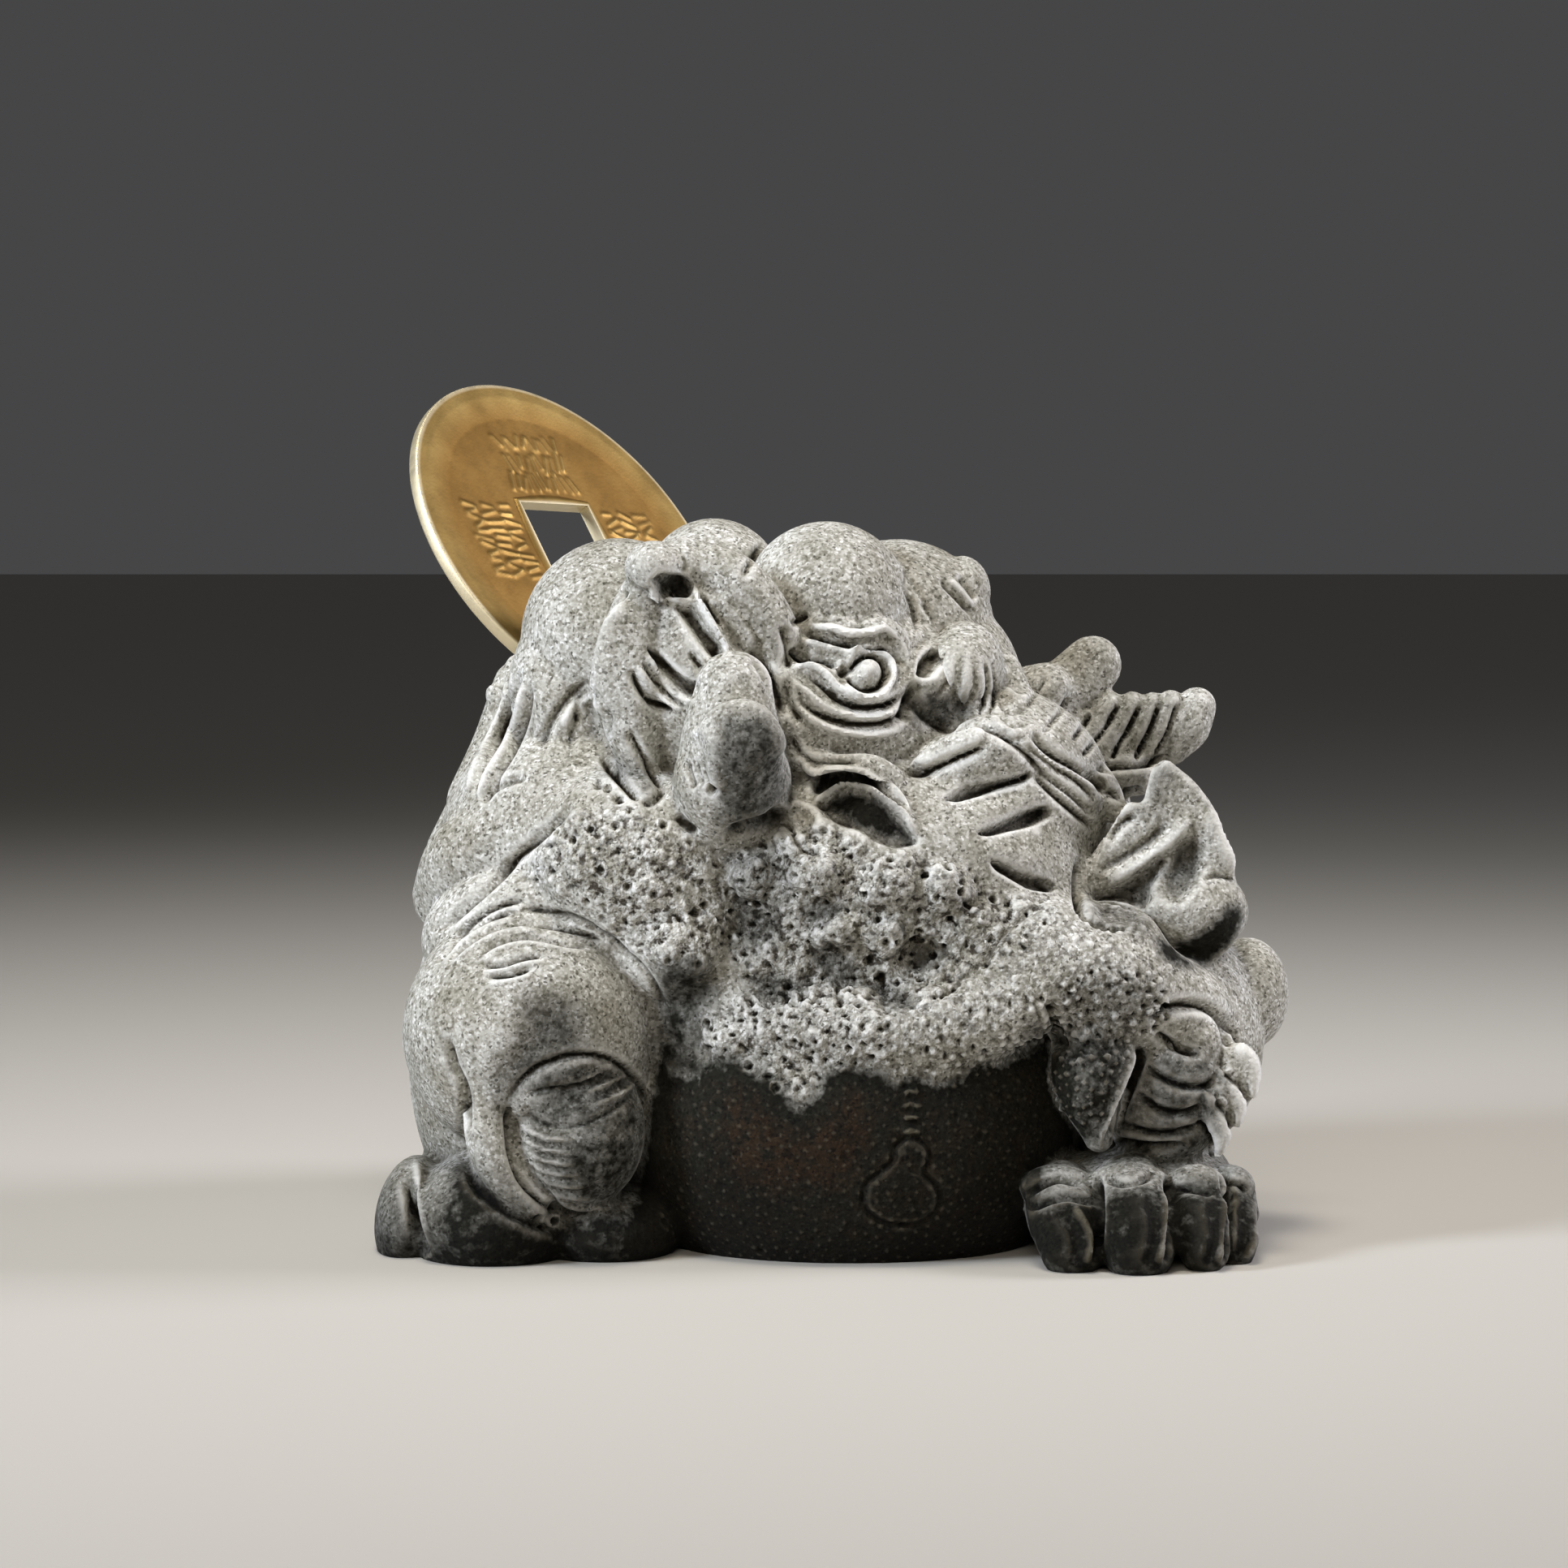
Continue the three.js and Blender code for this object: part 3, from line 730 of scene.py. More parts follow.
def cut(piece, tool):
    """Takes a tool's shape away from a piece."""
    knife = new_object("knife", mesh_of(tool, "knife"))
    take = piece.modifiers.new("cut", "BOOLEAN")
    take.operation = "DIFFERENCE"
    take.solver = "MANIFOLD"
    take.object = knife
    applied(piece)
    bpy.data.meshes.remove(knife.data)


# The coin's own frame: the way it slides in, across it, and the way its face looks.
WAY_IN = Vector((math.cos(SLOT_SLOPE), 0, -math.sin(SLOT_SLOPE)))
COIN_FACE = Vector((math.sin(SLOT_SLOPE), 0, math.cos(SLOT_SLOPE))) * math.sin(COIN_LEAN) - Vector(
    (0, math.cos(COIN_LEAN), 0)
)
COIN_FRAME = Matrix.Translation(seen(COIN_PLACE) * UNIT) @ Matrix(
    [WAY_IN, COIN_FACE.cross(WAY_IN), COIN_FACE]
).transposed().to_4x4()


def slot_tool():
    """The slot's round floor follows the coin's rim, and its straight sides run out of the stone."""
    radius = COIN_DIAMETER / 2 + SLOT_CLEARANCE
    tool = bmesh.new()
    thick = COIN_THICKNESS + 2 * SLOT_CLEARANCE
    flat = Matrix.Translation((0, 0, -thick / 2))
    made = bmesh.ops.create_circle(tool, cap_ends=True, segments=96, radius=radius, matrix=flat)
    for vert in made["verts"]:
        if vert.co.x < 0:
            vert.co.x -= COIN_DIAMETER
    walls = bmesh.ops.extrude_face_region(tool, geom=tool.faces[:])
    raised = [v for v in walls["geom"] if isinstance(v, bmesh.types.BMVert)]
    bmesh.ops.translate(tool, verts=raised, vec=(0, 0, thick))
    bmesh.ops.transform(tool, verts=tool.verts, matrix=COIN_FRAME)
    bmesh.ops.recalc_face_normals(tool, faces=tool.faces)
    return tool


def ground_tool():
    """All that would lie below the flat underside."""
    tool = bmesh.new()
    bmesh.ops.create_cube(tool, size=4 * toad_top, matrix=Matrix.Translation((0, 0, -2 * toad_top)))
    return tool


NOSTRIL = [(803, 717), (815, 708), (838, 710), (851, 720), (849, 733), (826, 735), (810, 730)]


def carve_snout(s):
    """The nostril, the hood's edge, and the slits down the snout."""
    s.score([(772, 724), (764, 738), (757, 750), (751, 764)], 0.4, 1.1)
    s.score([(774, 706), (777, 718), (790, 728), (804, 730)], 0.3, 0.35)
    s.score([(842, 684), (845, 696), (842, 706)], 0.3, 0.4)
    s.swell(NOSTRIL, -1.2, 5)
    s.dome((807, 731), 9, 0.9)
    s.ledge([(738, 884), (735, 846), (741, 800), (752, 764), (768, 736)], 1.8, 1.5)
    s.bead([(800, 734), (824, 739), (850, 741)], 0.4, 0.8)
    s.swell([(834, 748), (853, 747), (872, 772), (892, 797), (880, 808), (860, 786)], -2.0, 5)
    s.bead([(853, 722), (868, 750), (884, 780), (897, 801)], 0.3, 0.9)
    s.score([(862, 733), (876, 750), (890, 770)], 0.3, 0.9)
    s.swell([(880, 748), (894, 756), (916, 782), (922, 802), (906, 800), (892, 778)], -0.9, 8)
    s.bead([(884, 726), (908, 760), (930, 800)], 1.0, 0.5)
    s.score([(850, 804), (857, 815), (864, 824)], 0.35, 0.9)
    s.swell([(800, 798), (812, 808), (830, 826), (846, 838), (858, 844), (852, 858), (836, 854),
             (820, 838)], -1.5, 5)
    s.bead([(796, 806), (812, 828), (834, 850), (850, 866)], 0.3, 0.7)
    s.score([(789, 812), (806, 838), (830, 862), (846, 872)], 0.25, 0.5)
    s.bead([(785, 820), (802, 844), (824, 866), (842, 876)], 0.3, 0.5)
    s.score([(777, 825), (790, 850), (808, 868), (830, 878)], 0.45, 1.4)
    s.score([(926, 800), (944, 826), (958, 856), (966, 882)], 0.6, 1.6)
    s.score([(964, 770), (972, 800), (970, 824)], 0.6, 1.2)
    s.score([(735, 846), (746, 866), (748, 890), (745, 908)], 0.5, 0.8)
    s.score([(741, 930), (752, 946), (770, 966), (788, 988)], 0.5, 1.4)
    s.score([(772, 900), (792, 932), (818, 972)], 0.5, 1.1)
    s.score([(788, 990), (806, 986), (818, 970)], 0.5, 1.0)
    s.score([(716, 872), (706, 900), (698, 938)], 0.5, 0.35)
    s.score([(734, 848), (716, 858), (709, 878), (712, 894)], 0.45, 0.6)
    for x, y in [(736, 966), (748, 970), (766, 984), (760, 984)]:
        s.dome((x, y), 8, -0.9)


def carve_tongue(s):
    """The curl of the tongue."""
    s.dome((914, 842), 16, -0.35)
    s.ledge([(848, 900), (866, 896), (882, 876), (912, 866), (940, 876), (958, 900), (968, 930)], 1.6, 1.2)
    for shift in (0, 10, 19):
        s.score([(846 + shift, 936), (848 + shift, 952), (856 + shift, 972 - shift / 4)], 0.35, 0.7)
    s.bead([(884, 900), (880, 940), (886, 976)], 1.0, 0.7)
    s.dome((877, 973), 9, -1.8)
    s.score([(832, 1004), (842, 1014), (858, 1028)], 0.45, 0.9)
    s.score([(890, 1032), (920, 1022), (950, 1012), (968, 994)], 0.8, 1.6)


def carve_eye(s):
    """The lids, the eyeball in its ring, and the folds below."""
    s.swell([(978, 790), (1040, 792), (1098, 790), (1118, 820), (1108, 860), (1060, 880), (1004, 866),
             (976, 826)], -0.4, 8)
    s.score([(976, 770), (984, 763), (996, 757)], 0.4, 0.8)
    for x, y in [(1020, 757), (1060, 768)]:
        s.dome((x, y), 8, -0.4)
    s.bead([(992, 771), (1021, 772), (1048, 780), (1072, 778), (1090, 774), (1104, 787), (1115, 806),
            (1118, 834)], 0.45, 0.6)
    s.score([(1000, 766), (1030, 765), (1052, 771), (1080, 768)], 0.3, 0.5)
    s.score([(990, 779), (1028, 792), (1059, 799), (1094, 801), (1108, 818)], 0.32, 1.5)
    s.bead([(986, 789), (1021, 798), (1052, 805), (1076, 803)], 0.35, 1.0)
    s.score([(976, 802), (1000, 807), (1016, 810), (1034, 820)], 0.45, 1.5)
    s.dome((1041, 825), 11, -1.6)
    s.dome((989, 806), 14, -1.2)
    turns = [(math.radians(a), 28 + (a + 160) * 0.012) for a in range(-160, 170, 20)]
    s.bead([(1070 + r * math.cos(a), 828 + r * math.sin(a)) for a, r in turns], 0.5, 1.3, 0.1)
    s.score([(1070 + (r - 8) * math.cos(a), 828 + (r - 8) * math.sin(a)) for a, r in turns], 0.32, 1.0, 0)
    s.dome((1070, 827), 20, 1.7)
    s.bead([(972, 822), (994, 818), (1016, 828), (1034, 847), (1060, 862), (1090, 860),
            (1112, 844)], 0.5, 1.0)
    s.score([(994, 832), (1012, 842), (1032, 860), (1062, 872), (1094, 868), (1118, 852)], 0.4, 1.1)
    s.bead([(974, 836), (992, 850), (1014, 868), (1044, 880), (1082, 882), (1112, 870)], 0.5, 0.9)
    s.score([(980, 856), (1000, 876), (1036, 890), (1080, 893), (1116, 880)], 0.4, 1.0)
    s.bead([(984, 868), (1004, 888), (1044, 902), (1084, 904), (1116, 894)], 0.6, 0.8)
    s.score([(966, 836), (972, 864), (990, 892)], 0.6, 1.1)
    s.score([(1130, 840), (1120, 864), (1110, 890)], 0.7, 1.5)


def carve_ear(s):
    """The ear's hole, and the folds that fall from it."""
    s.dome((1174, 834), 56, 1.9)
    s.score([(1120, 850), (1134, 878), (1160, 896), (1202, 892)], 0.6, 0.9)
    s.swell([(1130, 832), (1134, 814), (1147, 803), (1156, 808), (1150, 824), (1140, 836)], -1.7, 4)
    s.score([(1146, 780), (1132, 790), (1124, 802)], 0.4, 0.35)
    for deep, line in [
        (0.4, [(1168, 806), (1162, 836), (1144, 866)]),
        (0.4, [(1184, 804), (1180, 842), (1160, 878)]),
        (0.5, [(1197, 808), (1196, 846), (1182, 886)]),
        (1.0, [(1209, 812), (1214, 846), (1206, 882)]),
        (0.8, [(1221, 812), (1227, 850), (1216, 888)]),
    ]:
        s.score(line, 0.3, deep, 0.4)
    s.score([(1229, 862), (1244, 877), (1266, 872)], 0.4, 0.5)
    s.score([(1232, 880), (1250, 893), (1268, 889)], 0.4, 0.5)
    s.score([(1234, 898), (1250, 911), (1264, 908)], 0.4, 0.5)
    s.bead([(1236, 850), (1252, 862), (1268, 862)], 0.5, 0.7)


def carve_brow(s):
    """Creases in the domes."""
    s.score([(1086, 676), (1108, 706), (1124, 744), (1130, 780)], 0.35, 0.6)
    s.score([(1112, 700), (1128, 724), (1150, 756)], 0.3, 0.35)
    s.score([(1136, 742), (1146, 758), (1152, 766)], 0.3, 0.5)
    s.score([(1158, 714), (1178, 734), (1198, 756)], 0.35, 0.7)
    s.bead([(1168, 712), (1186, 732), (1200, 750)], 0.35, 0.45)
    s.score([(1182, 711), (1192, 722), (1202, 738)], 0.3, 1.2)
    s.score([(1140, 682), (1152, 690), (1162, 694)], 0.4, 0.5)
    s.score([(939, 669), (927, 688), (916, 710)], 0.4, 0.8)


MOUTH_GAP = [
    (1002, 962), (1012, 955), (1030, 952), (1060, 954), (1088, 968), (1112, 996), (1100, 990), (1074, 972),
    (1040, 966), (1014, 976), (1003, 974),
]


def carve_mouth(s):
    """The gap under the lid of the mouth, and the leaf-shaped hollow below it."""
    s.score([(972, 900), (984, 926), (1000, 940), (1024, 938), (1060, 940)], 0.5, 0.9)
    s.bead([(986, 942), (1002, 950), (1040, 946), (1072, 953), (1104, 980), (1130, 1026)], 0.4, 1.0)
    s.swell(MOUTH_GAP, -1.3, 4)
    leaf = [(1006, 992), (1034, 976), (1062, 974), (1088, 988), (1108, 1012), (1130, 1038), (1104, 1038),
            (1064, 1022)]
    s.swell(leaf + [(1026, 1006)], -1.1, 4)
    s.bead([(1000, 988), (1014, 982), (1036, 971), (1062, 968), (1090, 982), (1112, 1006),
            (1128, 1030)], 0.35, 1.1)
    s.score([(1012, 1000), (1040, 1014), (1074, 1030), (1108, 1041), (1130, 1038)], 0.4, 0.9)
    s.bead([(960, 998), (984, 992), (1006, 1004), (1012, 1024)], 0.6, 0.7)
    s.score([(968, 1010), (978, 1030), (1000, 1046), (1014, 1044)], 0.6, 1.2)


CHEEK_SLITS = [
    [(1166, 983), (1180, 975), (1206, 967), (1240, 961), (1272, 953), (1262, 962), (1236, 970),
     (1200, 980), (1178, 985)],
    [(1206, 1025), (1232, 1014), (1262, 1001), (1290, 995), (1295, 1002), (1276, 1014), (1244, 1022),
     (1216, 1028)],
    [(1222, 1061), (1238, 1065), (1262, 1077), (1294, 1086), (1300, 1095), (1270, 1093), (1246, 1081),
     (1228, 1070)],
]


def carve_cheek(s):
    """Three slits, and the cheek's edge against the fin."""
    s.pillow([(1118, 944), (1150, 918), (1190, 898), (1214, 898), (1208, 918), (1172, 934),
              (1140, 946)], 0.7, 10)
    s.score([(1112, 947), (1140, 949), (1174, 936), (1214, 919)], 0.55, 1.5)
    for slit in CHEEK_SLITS:
        s.swell(slit, -1.5, 4)
    s.bead([(1162, 966), (1196, 956), (1236, 946), (1262, 940)], 1.2, 0.4)
    s.bead([(1196, 1006), (1230, 996), (1262, 984), (1284, 978)], 1.2, 0.4)
    s.bead([(1212, 1046), (1244, 1052), (1280, 1066)], 1.2, 0.4)
    s.score([(1197, 889), (1228, 900), (1262, 926), (1280, 948)], 0.5, 1.2)
    s.score([(1331, 1056), (1328, 1092), (1331, 1120), (1350, 1136), (1392, 1146)], 0.45, 1.5)


def carve_crest(s):
    """Grooves between the ribs, and the strands of the braid."""
    for rib, ahead in zip(CREST_RIBS, CREST_RIBS[1:] + [[(1462, 870), (1450, 904), (1434, 930)]]):
        between = [((a[0] + b[0]) / 2, (a[1] + b[1]) / 2) for a, b in zip(rib, ahead)]
        s.score(between, 0.28, 1.0, 0.1)
    s.score([(1344, 878), (1334, 896), (1322, 912)], 0.28, 1.0)
    s.score([(1318, 858), (1304, 880), (1284, 904)], 0.3, 0.6)
    s.score([(1290, 832), (1278, 852), (1264, 872)], 0.3, 0.6)
    s.score([(1350, 946), (1380, 944), (1408, 940), (1436, 934)], 0.5, 1.4)
    s.score([(1364, 976), (1384, 980), (1410, 974)], 0.6, 1.4)
    s.score([(1270, 900), (1300, 932), (1332, 948), (1354, 962), (1366, 986)], 0.5, 1.5)
    s.score([(1264, 916), (1296, 944), (1330, 964), (1350, 986)], 0.35, 0.8)
    s.score([(1266, 934), (1296, 960), (1326, 984), (1348, 1006)], 0.35, 0.8)
    s.score([(1272, 950), (1300, 978), (1330, 1004), (1352, 1022)], 0.5, 1.2)


def carve_fin(s):
    """The fin's ridge and hollows."""
    s.pillow(FIN, 0.3, 18)
    s.bead([(1362, 1086), (1404, 1064), (1438, 1038), (1472, 1003)], 1.0, 0.8)
    s.score([(1352, 1074), (1380, 1058), (1410, 1040), (1440, 1012)], 0.7, 0.7)
    for hollow in FIN_HOLLOWS:
        s.swell(hollow, -1.4, 11)
    s.bead([(1412, 1104), (1428, 1080), (1446, 1054)], 0.7, 0.7)
    s.score([(1366, 1036), (1380, 1016), (1400, 1004)], 0.5, 0.9)
    s.bead([(1484, 1000), (1502, 1034), (1514, 1076)], 1.2, 0.5)
    s.score([(1480, 1086), (1500, 1080), (1524, 1086)], 0.35, 0.5)


def carve_left_shoulder(s):
    """The edges of the bands, and the fold of the chest below them."""
    for line in [
        [(638, 824), (630, 862), (612, 906), (592, 950), (580, 980)],
        [(651, 838), (645, 882), (630, 920), (606, 958), (592, 986)],
    ]:
        s.bead([(x - 6, y) for x, y in line], 0.5, 0.8)
        s.score([(x + 2, y + 2) for x, y in line], 0.4, 1.2)
    s.score([(592, 990), (606, 972), (626, 962), (650, 956)], 0.5, 0.9)
    s.score([(536, 1150), (566, 1122), (606, 1086), (650, 1042), (706, 990)], 0.6, 1.5)
    s.score([(728, 836), (700, 860), (682, 884), (664, 920)], 0.6, 0.8)
    s.bead([(736, 848), (708, 872), (692, 896)], 0.7, 0.5)
    s.score([(804, 1060), (836, 1076), (874, 1092)], 0.5, 0.6)


def carve_knee(s):
    """Wrinkles over the knee, and the ribs on the kneecap."""
    s.dome((674, 1272), 58, -1.3)
    s.dome((640, 1322), 42, -1.2)
    for line in [
        [(552, 1162), (580, 1136), (616, 1116), (650, 1108)],
        [(537, 1188), (568, 1154), (599, 1134), (634, 1122)],
        [(552, 1184), (576, 1163), (606, 1145), (640, 1137), (664, 1140)],
        [(586, 1178), (612, 1162), (644, 1154), (670, 1157), (696, 1163), (728, 1166)],
        [(592, 1190), (618, 1188), (644, 1180), (672, 1176)],
        [(600, 1203), (630, 1200), (656, 1192)],
    ]:
        s.score(line, 0.35, 0.9)
        s.bead([(x + 2, y + 8) for x, y in line], 0.35, 0.35)
    s.score([(656, 1138), (696, 1144), (728, 1154), (744, 1162)], 0.3, 0.8)
    s.score([(640, 1118), (676, 1122), (708, 1132), (744, 1152), (776, 1178), (800, 1206),
             (818, 1240)], 0.4, 0.8, 0.1)
    s.score([(548, 1276), (556, 1312), (570, 1344), (572, 1376), (570, 1408)], 0.6, 1.6)
    s.score([(622, 1362), (640, 1338), (676, 1312), (722, 1300), (754, 1306), (780, 1326),
             (795, 1356)], 0.45, 1.1)
    s.score([(625, 1360), (629, 1390), (632, 1420), (645, 1456), (668, 1481), (690, 1494)], 0.5, 1.5)
    s.bead([(780, 1318), (806, 1352), (812, 1390), (806, 1430)], 1.2, 0.5)
    s.score([(646, 1354), (672, 1344), (706, 1338), (738, 1324), (752, 1312)], 0.28, 0.6)
    s.dome((672, 1362), 22, 0.5)
    s.score([(648, 1368), (668, 1384), (706, 1388), (744, 1374), (780, 1348)], 0.28, 0.5)
    for line in [
        [(704, 1336), (736, 1323), (762, 1306)],
        [(716, 1350), (750, 1336), (778, 1318)],
        [(726, 1364), (762, 1350), (788, 1332)],
    ]:
        s.bead(line, 0.35, 0.55, 0.4)
    for i in range(7):
        left, top = 638 + 1.1 * i * i, 1382 + 14 * i
        s.bead([(left, top), (left + 24, top + 16), (left + 70, top + 25)], 0.42, 0.7, 0.35)
    for x, y in [(664, 1502), (674, 1512), (684, 1504)]:
        s.dome((x, y), 6, -0.9)


def carve_left_foot(s):
    """The edges of the toes."""
    s.score([(500, 1452), (507, 1478), (514, 1510), (527, 1548)], 0.7, 2.0)
    s.bead([(511, 1428), (518, 1476), (532, 1550)], 0.6, 0.8)
    s.score([(573, 1420), (584, 1458), (618, 1488), (656, 1508), (690, 1520)], 0.6, 1.2)


def carve_arm(s):
    """The flap's edge, the bands round the forearm, and the elbow's plates."""
    s.score([(1298, 1230), (1300, 1262), (1302, 1296)], 0.8, 1.2)
    s.swell([(1300, 1276), (1340, 1284), (1384, 1276), (1396, 1290), (1340, 1300), (1304, 1300)], -0.7, 8)
    s.bead([(1398, 1284), (1388, 1316), (1370, 1360), (1358, 1394), (1355, 1414)], 0.3, 0.9)
    s.score([(1408, 1290), (1398, 1320), (1380, 1364), (1369, 1398)], 0.6, 1.4)
    s.score([(1420, 1264), (1444, 1243), (1483, 1239), (1506, 1252), (1516, 1279), (1513, 1306)], 0.7, 1.8)
    for line in [
        [(1424, 1274), (1450, 1290), (1480, 1299)],
        [(1410, 1314), (1451, 1336), (1483, 1339), (1504, 1326)],
        [(1398, 1348), (1434, 1370), (1467, 1371), (1488, 1360)],
        [(1376, 1384), (1419, 1397), (1467, 1393), (1486, 1384)],
        [(1366, 1406), (1419, 1414), (1462, 1412)],
    ]:
        s.score(line, 0.5, 1.3)
    for outline in ELBOW_PLATES:
        s.pillow(outline, 0.9, 8)
        s.score([(x - 3, y + 3) for x, y in outline[4:]], 0.3, 0.8)


def carve_claws(s):
    """Creases over the knuckles, ridged claws, and the gaps between them."""
    s.score([(1266, 1472), (1282, 1460), (1304, 1452), (1334, 1458)], 0.4, 1.1)
    s.score([(1266, 1490), (1291, 1478), (1317, 1473), (1350, 1482)], 0.45, 1.4)
    s.score([(1360, 1452), (1382, 1457), (1406, 1453), (1424, 1446)], 0.4, 1.1)
    s.score([(1446, 1466), (1466, 1464), (1496, 1470)], 0.4, 1.0)
    s.score([(1514, 1458), (1524, 1458), (1538, 1468)], 0.4, 0.9)
    for ridge in [
        [(1316, 1486), (1332, 1510), (1338, 1536), (1332, 1558)],
        [(1424, 1466), (1432, 1500), (1430, 1532), (1420, 1558)],
        [(1500, 1474), (1507, 1504), (1504, 1534), (1494, 1556)],
        [(1536, 1474), (1542, 1504), (1538, 1532), (1528, 1552)],
    ]:
        s.bead([(x + 5, y) for x, y in ridge], 0.5, 0.7)
        s.score([(x - 10, y + 4) for x, y in ridge], 0.8, 0.5)
    for gap in [
        [(1352, 1446), (1354, 1500), (1350, 1556)],
        [(1440, 1446), (1442, 1500), (1437, 1556)],
        [(1508, 1440), (1515, 1490), (1510, 1556)],
    ]:
        s.score(gap, 0.45, 1.6)


def carve_gourd(s):
    """A plain gourd, cut as an outline low on the belly."""
    for y in (1348, 1364, 1380, 1396):
        s.bead([(1112, y), (1122, y - 4), (1134, y + 1)], 0.3, 0.45)
    right = [(1128, 1402), (1144, 1414), (1144, 1432), (1138, 1444), (1154, 1462), (1156, 1486),
             (1136, 1506), (1112, 1510)]
    left = [(1116, 1402), (1102, 1414), (1100, 1430), (1090, 1440), (1068, 1458), (1064, 1484),
            (1084, 1504), (1112, 1510)]
    s.pillow(right + left[-2::-1], 0.2, 14)
    for side in (right, left):
        s.score(side, 0.32, 0.4, 0)


CHEST_HOLLOWS = [
    [(988, 1116), (1004, 1108), (1034, 1114), (1040, 1122), (1018, 1134), (1000, 1140), (990, 1130)],
    [(1000, 1166), (1020, 1162), (1046, 1176), (1062, 1200), (1056, 1214), (1030, 1212), (1006, 1196)],
    [(924, 1206), (950, 1198), (976, 1206), (998, 1200), (1004, 1214), (976, 1230), (940, 1234)],
    [(1112, 1176), (1126, 1160), (1148, 1162), (1166, 1170), (1158, 1188), (1140, 1198), (1124, 1196)],
    [(1068, 1214), (1092, 1210), (1118, 1222), (1130, 1240), (1108, 1250), (1084, 1240)],
    [(900, 1100), (926, 1112), (954, 1124), (962, 1146), (936, 1162), (904, 1152)],
]


def carve_chest(s):
    """Deep shade under the warts."""
    for hollow in CHEST_HOLLOWS:
        s.swell(hollow, -0.8, 12)
    for x, y in [(1092, 1163), (1071, 1184), (1086, 1203), (1128, 1158), (1142, 1077), (1193, 1115),
                 (1245, 1112), (857, 1124)]:
        s.dome((x, y), 8, -1.1)
    s.score([(1286, 1113), (1245, 1139), (1206, 1192), (1186, 1208), (1130, 1250)], 0.6, 0.7)


LEFT_CHEST = [
    (650, 1080), (700, 1010), (780, 1000), (832, 1026), (878, 1060), (898, 1120), (882, 1180), (820, 1190),
    (770, 1160), (720, 1110),
]
MID_CHEST = [
    (900, 1060), (950, 1036), (980, 1020), (1030, 1024), (1100, 1050), (1196, 1070), (1230, 1100),
    (1300, 1112), (1290, 1150), (1200, 1200), (1130, 1250), (1060, 1240), (930, 1220), (896, 1150),
]
BELLY_ROLL = [
    (866, 1256), (930, 1226), (1000, 1214), (1080, 1240), (1100, 1290), (1060, 1312), (1020, 1320),
    (982, 1362), (948, 1336), (920, 1316), (872, 1294),
]
ARM_GRAIN = [
    (1090, 1250), (1200, 1200), (1300, 1130), (1420, 1150), (1440, 1200), (1300, 1230), (1290, 1286),
    (1150, 1340), (1090, 1310),
]
UPPER_SCALES = [
    (1304, 1214), (1360, 1192), (1424, 1204), (1440, 1250), (1410, 1274), (1350, 1286), (1306, 1270),
]
ARM_UNDERSIDE = [(1140, 1262), (1220, 1236), (1296, 1222), (1292, 1280), (1220, 1296), (1150, 1316)]
BELLY = [
    (830, 1340), (940, 1340), (985, 1384), (1030, 1336), (1150, 1330), (1290, 1306), (1270, 1440),
    (1240, 1540), (830, 1530),
]
FLAP_SCALES = [
    (1312, 1296), (1394, 1288), (1386, 1324), (1368, 1362), (1344, 1386), (1308, 1366), (1300, 1330),
]


def carve_skin(s):
    """The coarse skin: grains, pits and nicks."""
    for outline, seed in [(LEFT_CHEST, 11), (MID_CHEST, 21), (BELLY_ROLL, 31)]:
        s.grains(outline, 4, 2, 0.45, seed + 1)
        s.grains(outline, 1.4, 0.6, 0.26, seed + 2)
        s.pits(outline, 2.4, 0.48, 0.75, seed + 5, 0.2)
    s.nicks(LEFT_CHEST, 2.6, 9, 0.7, 10, 17)
    s.nicks(MID_CHEST, 2.4, 9, 0.7, 0, 27)
    s.nicks(BELLY_ROLL, 1.7, 11, 0.9, 5, 37)
    s.grains(ARM_GRAIN, 1.1, 0.5, 0.3, 51)
    s.nicks(ARM_UNDERSIDE, 1.8, 13, 0.8, 60, 57)
    s.grains(BELLY, 1.0, 0.4, 0.14, 41)
    s.pits(BELLY, 4, 0.5, 0.35, 43, 0)
    s.grains(UPPER_SCALES, 1.05, 0.5, 0.5, 61)
    s.nicks(UPPER_SCALES, 1.5, 9, 0.9, -30, 65)
    s.grains(FLAP_SCALES, 0.95, 0.42, 0.5, 67)


def carve_hidden(s):
    """What the eye doesn't see is plainer: warts, with a few shallow pits between them."""
    above_the_foot = s.points[:, 2] > 12
    ids = np.nonzero((s.unseen(60) > 0) & above_the_foot)[0][::4]
    chosen = s.scatter(ids, 4.4, 71)
    chance = np.random.RandomState(72)
    warts, pits = chosen[::3], chosen[1::3]
    s.dots(warts, chance.uniform(1.2, 2.5, len(warts)), chance.uniform(0.5, 1.1, len(warts)))
    s.dots(pits, chance.uniform(0.5, 0.9, len(pits)), -chance.uniform(0.15, 0.45, len(pits)), 0.15)


def carve(s):
    """The tooled detail that the camera sees."""
    for part in [
        carve_snout, carve_tongue, carve_eye, carve_ear, carve_brow, carve_mouth, carve_cheek, carve_crest,
        carve_fin, carve_left_shoulder, carve_knee, carve_left_foot, carve_arm, carve_claws, carve_gourd,
        carve_chest,
    ]:
        part(s)
    s.settle()
    carve_skin(s)
    carve_hidden(s)
    s.settle()


LEAF = [
    (1012, 996), (1036, 980), (1062, 978), (1088, 992), (1108, 1014), (1126, 1036), (1104, 1036),
    (1062, 1020),
]

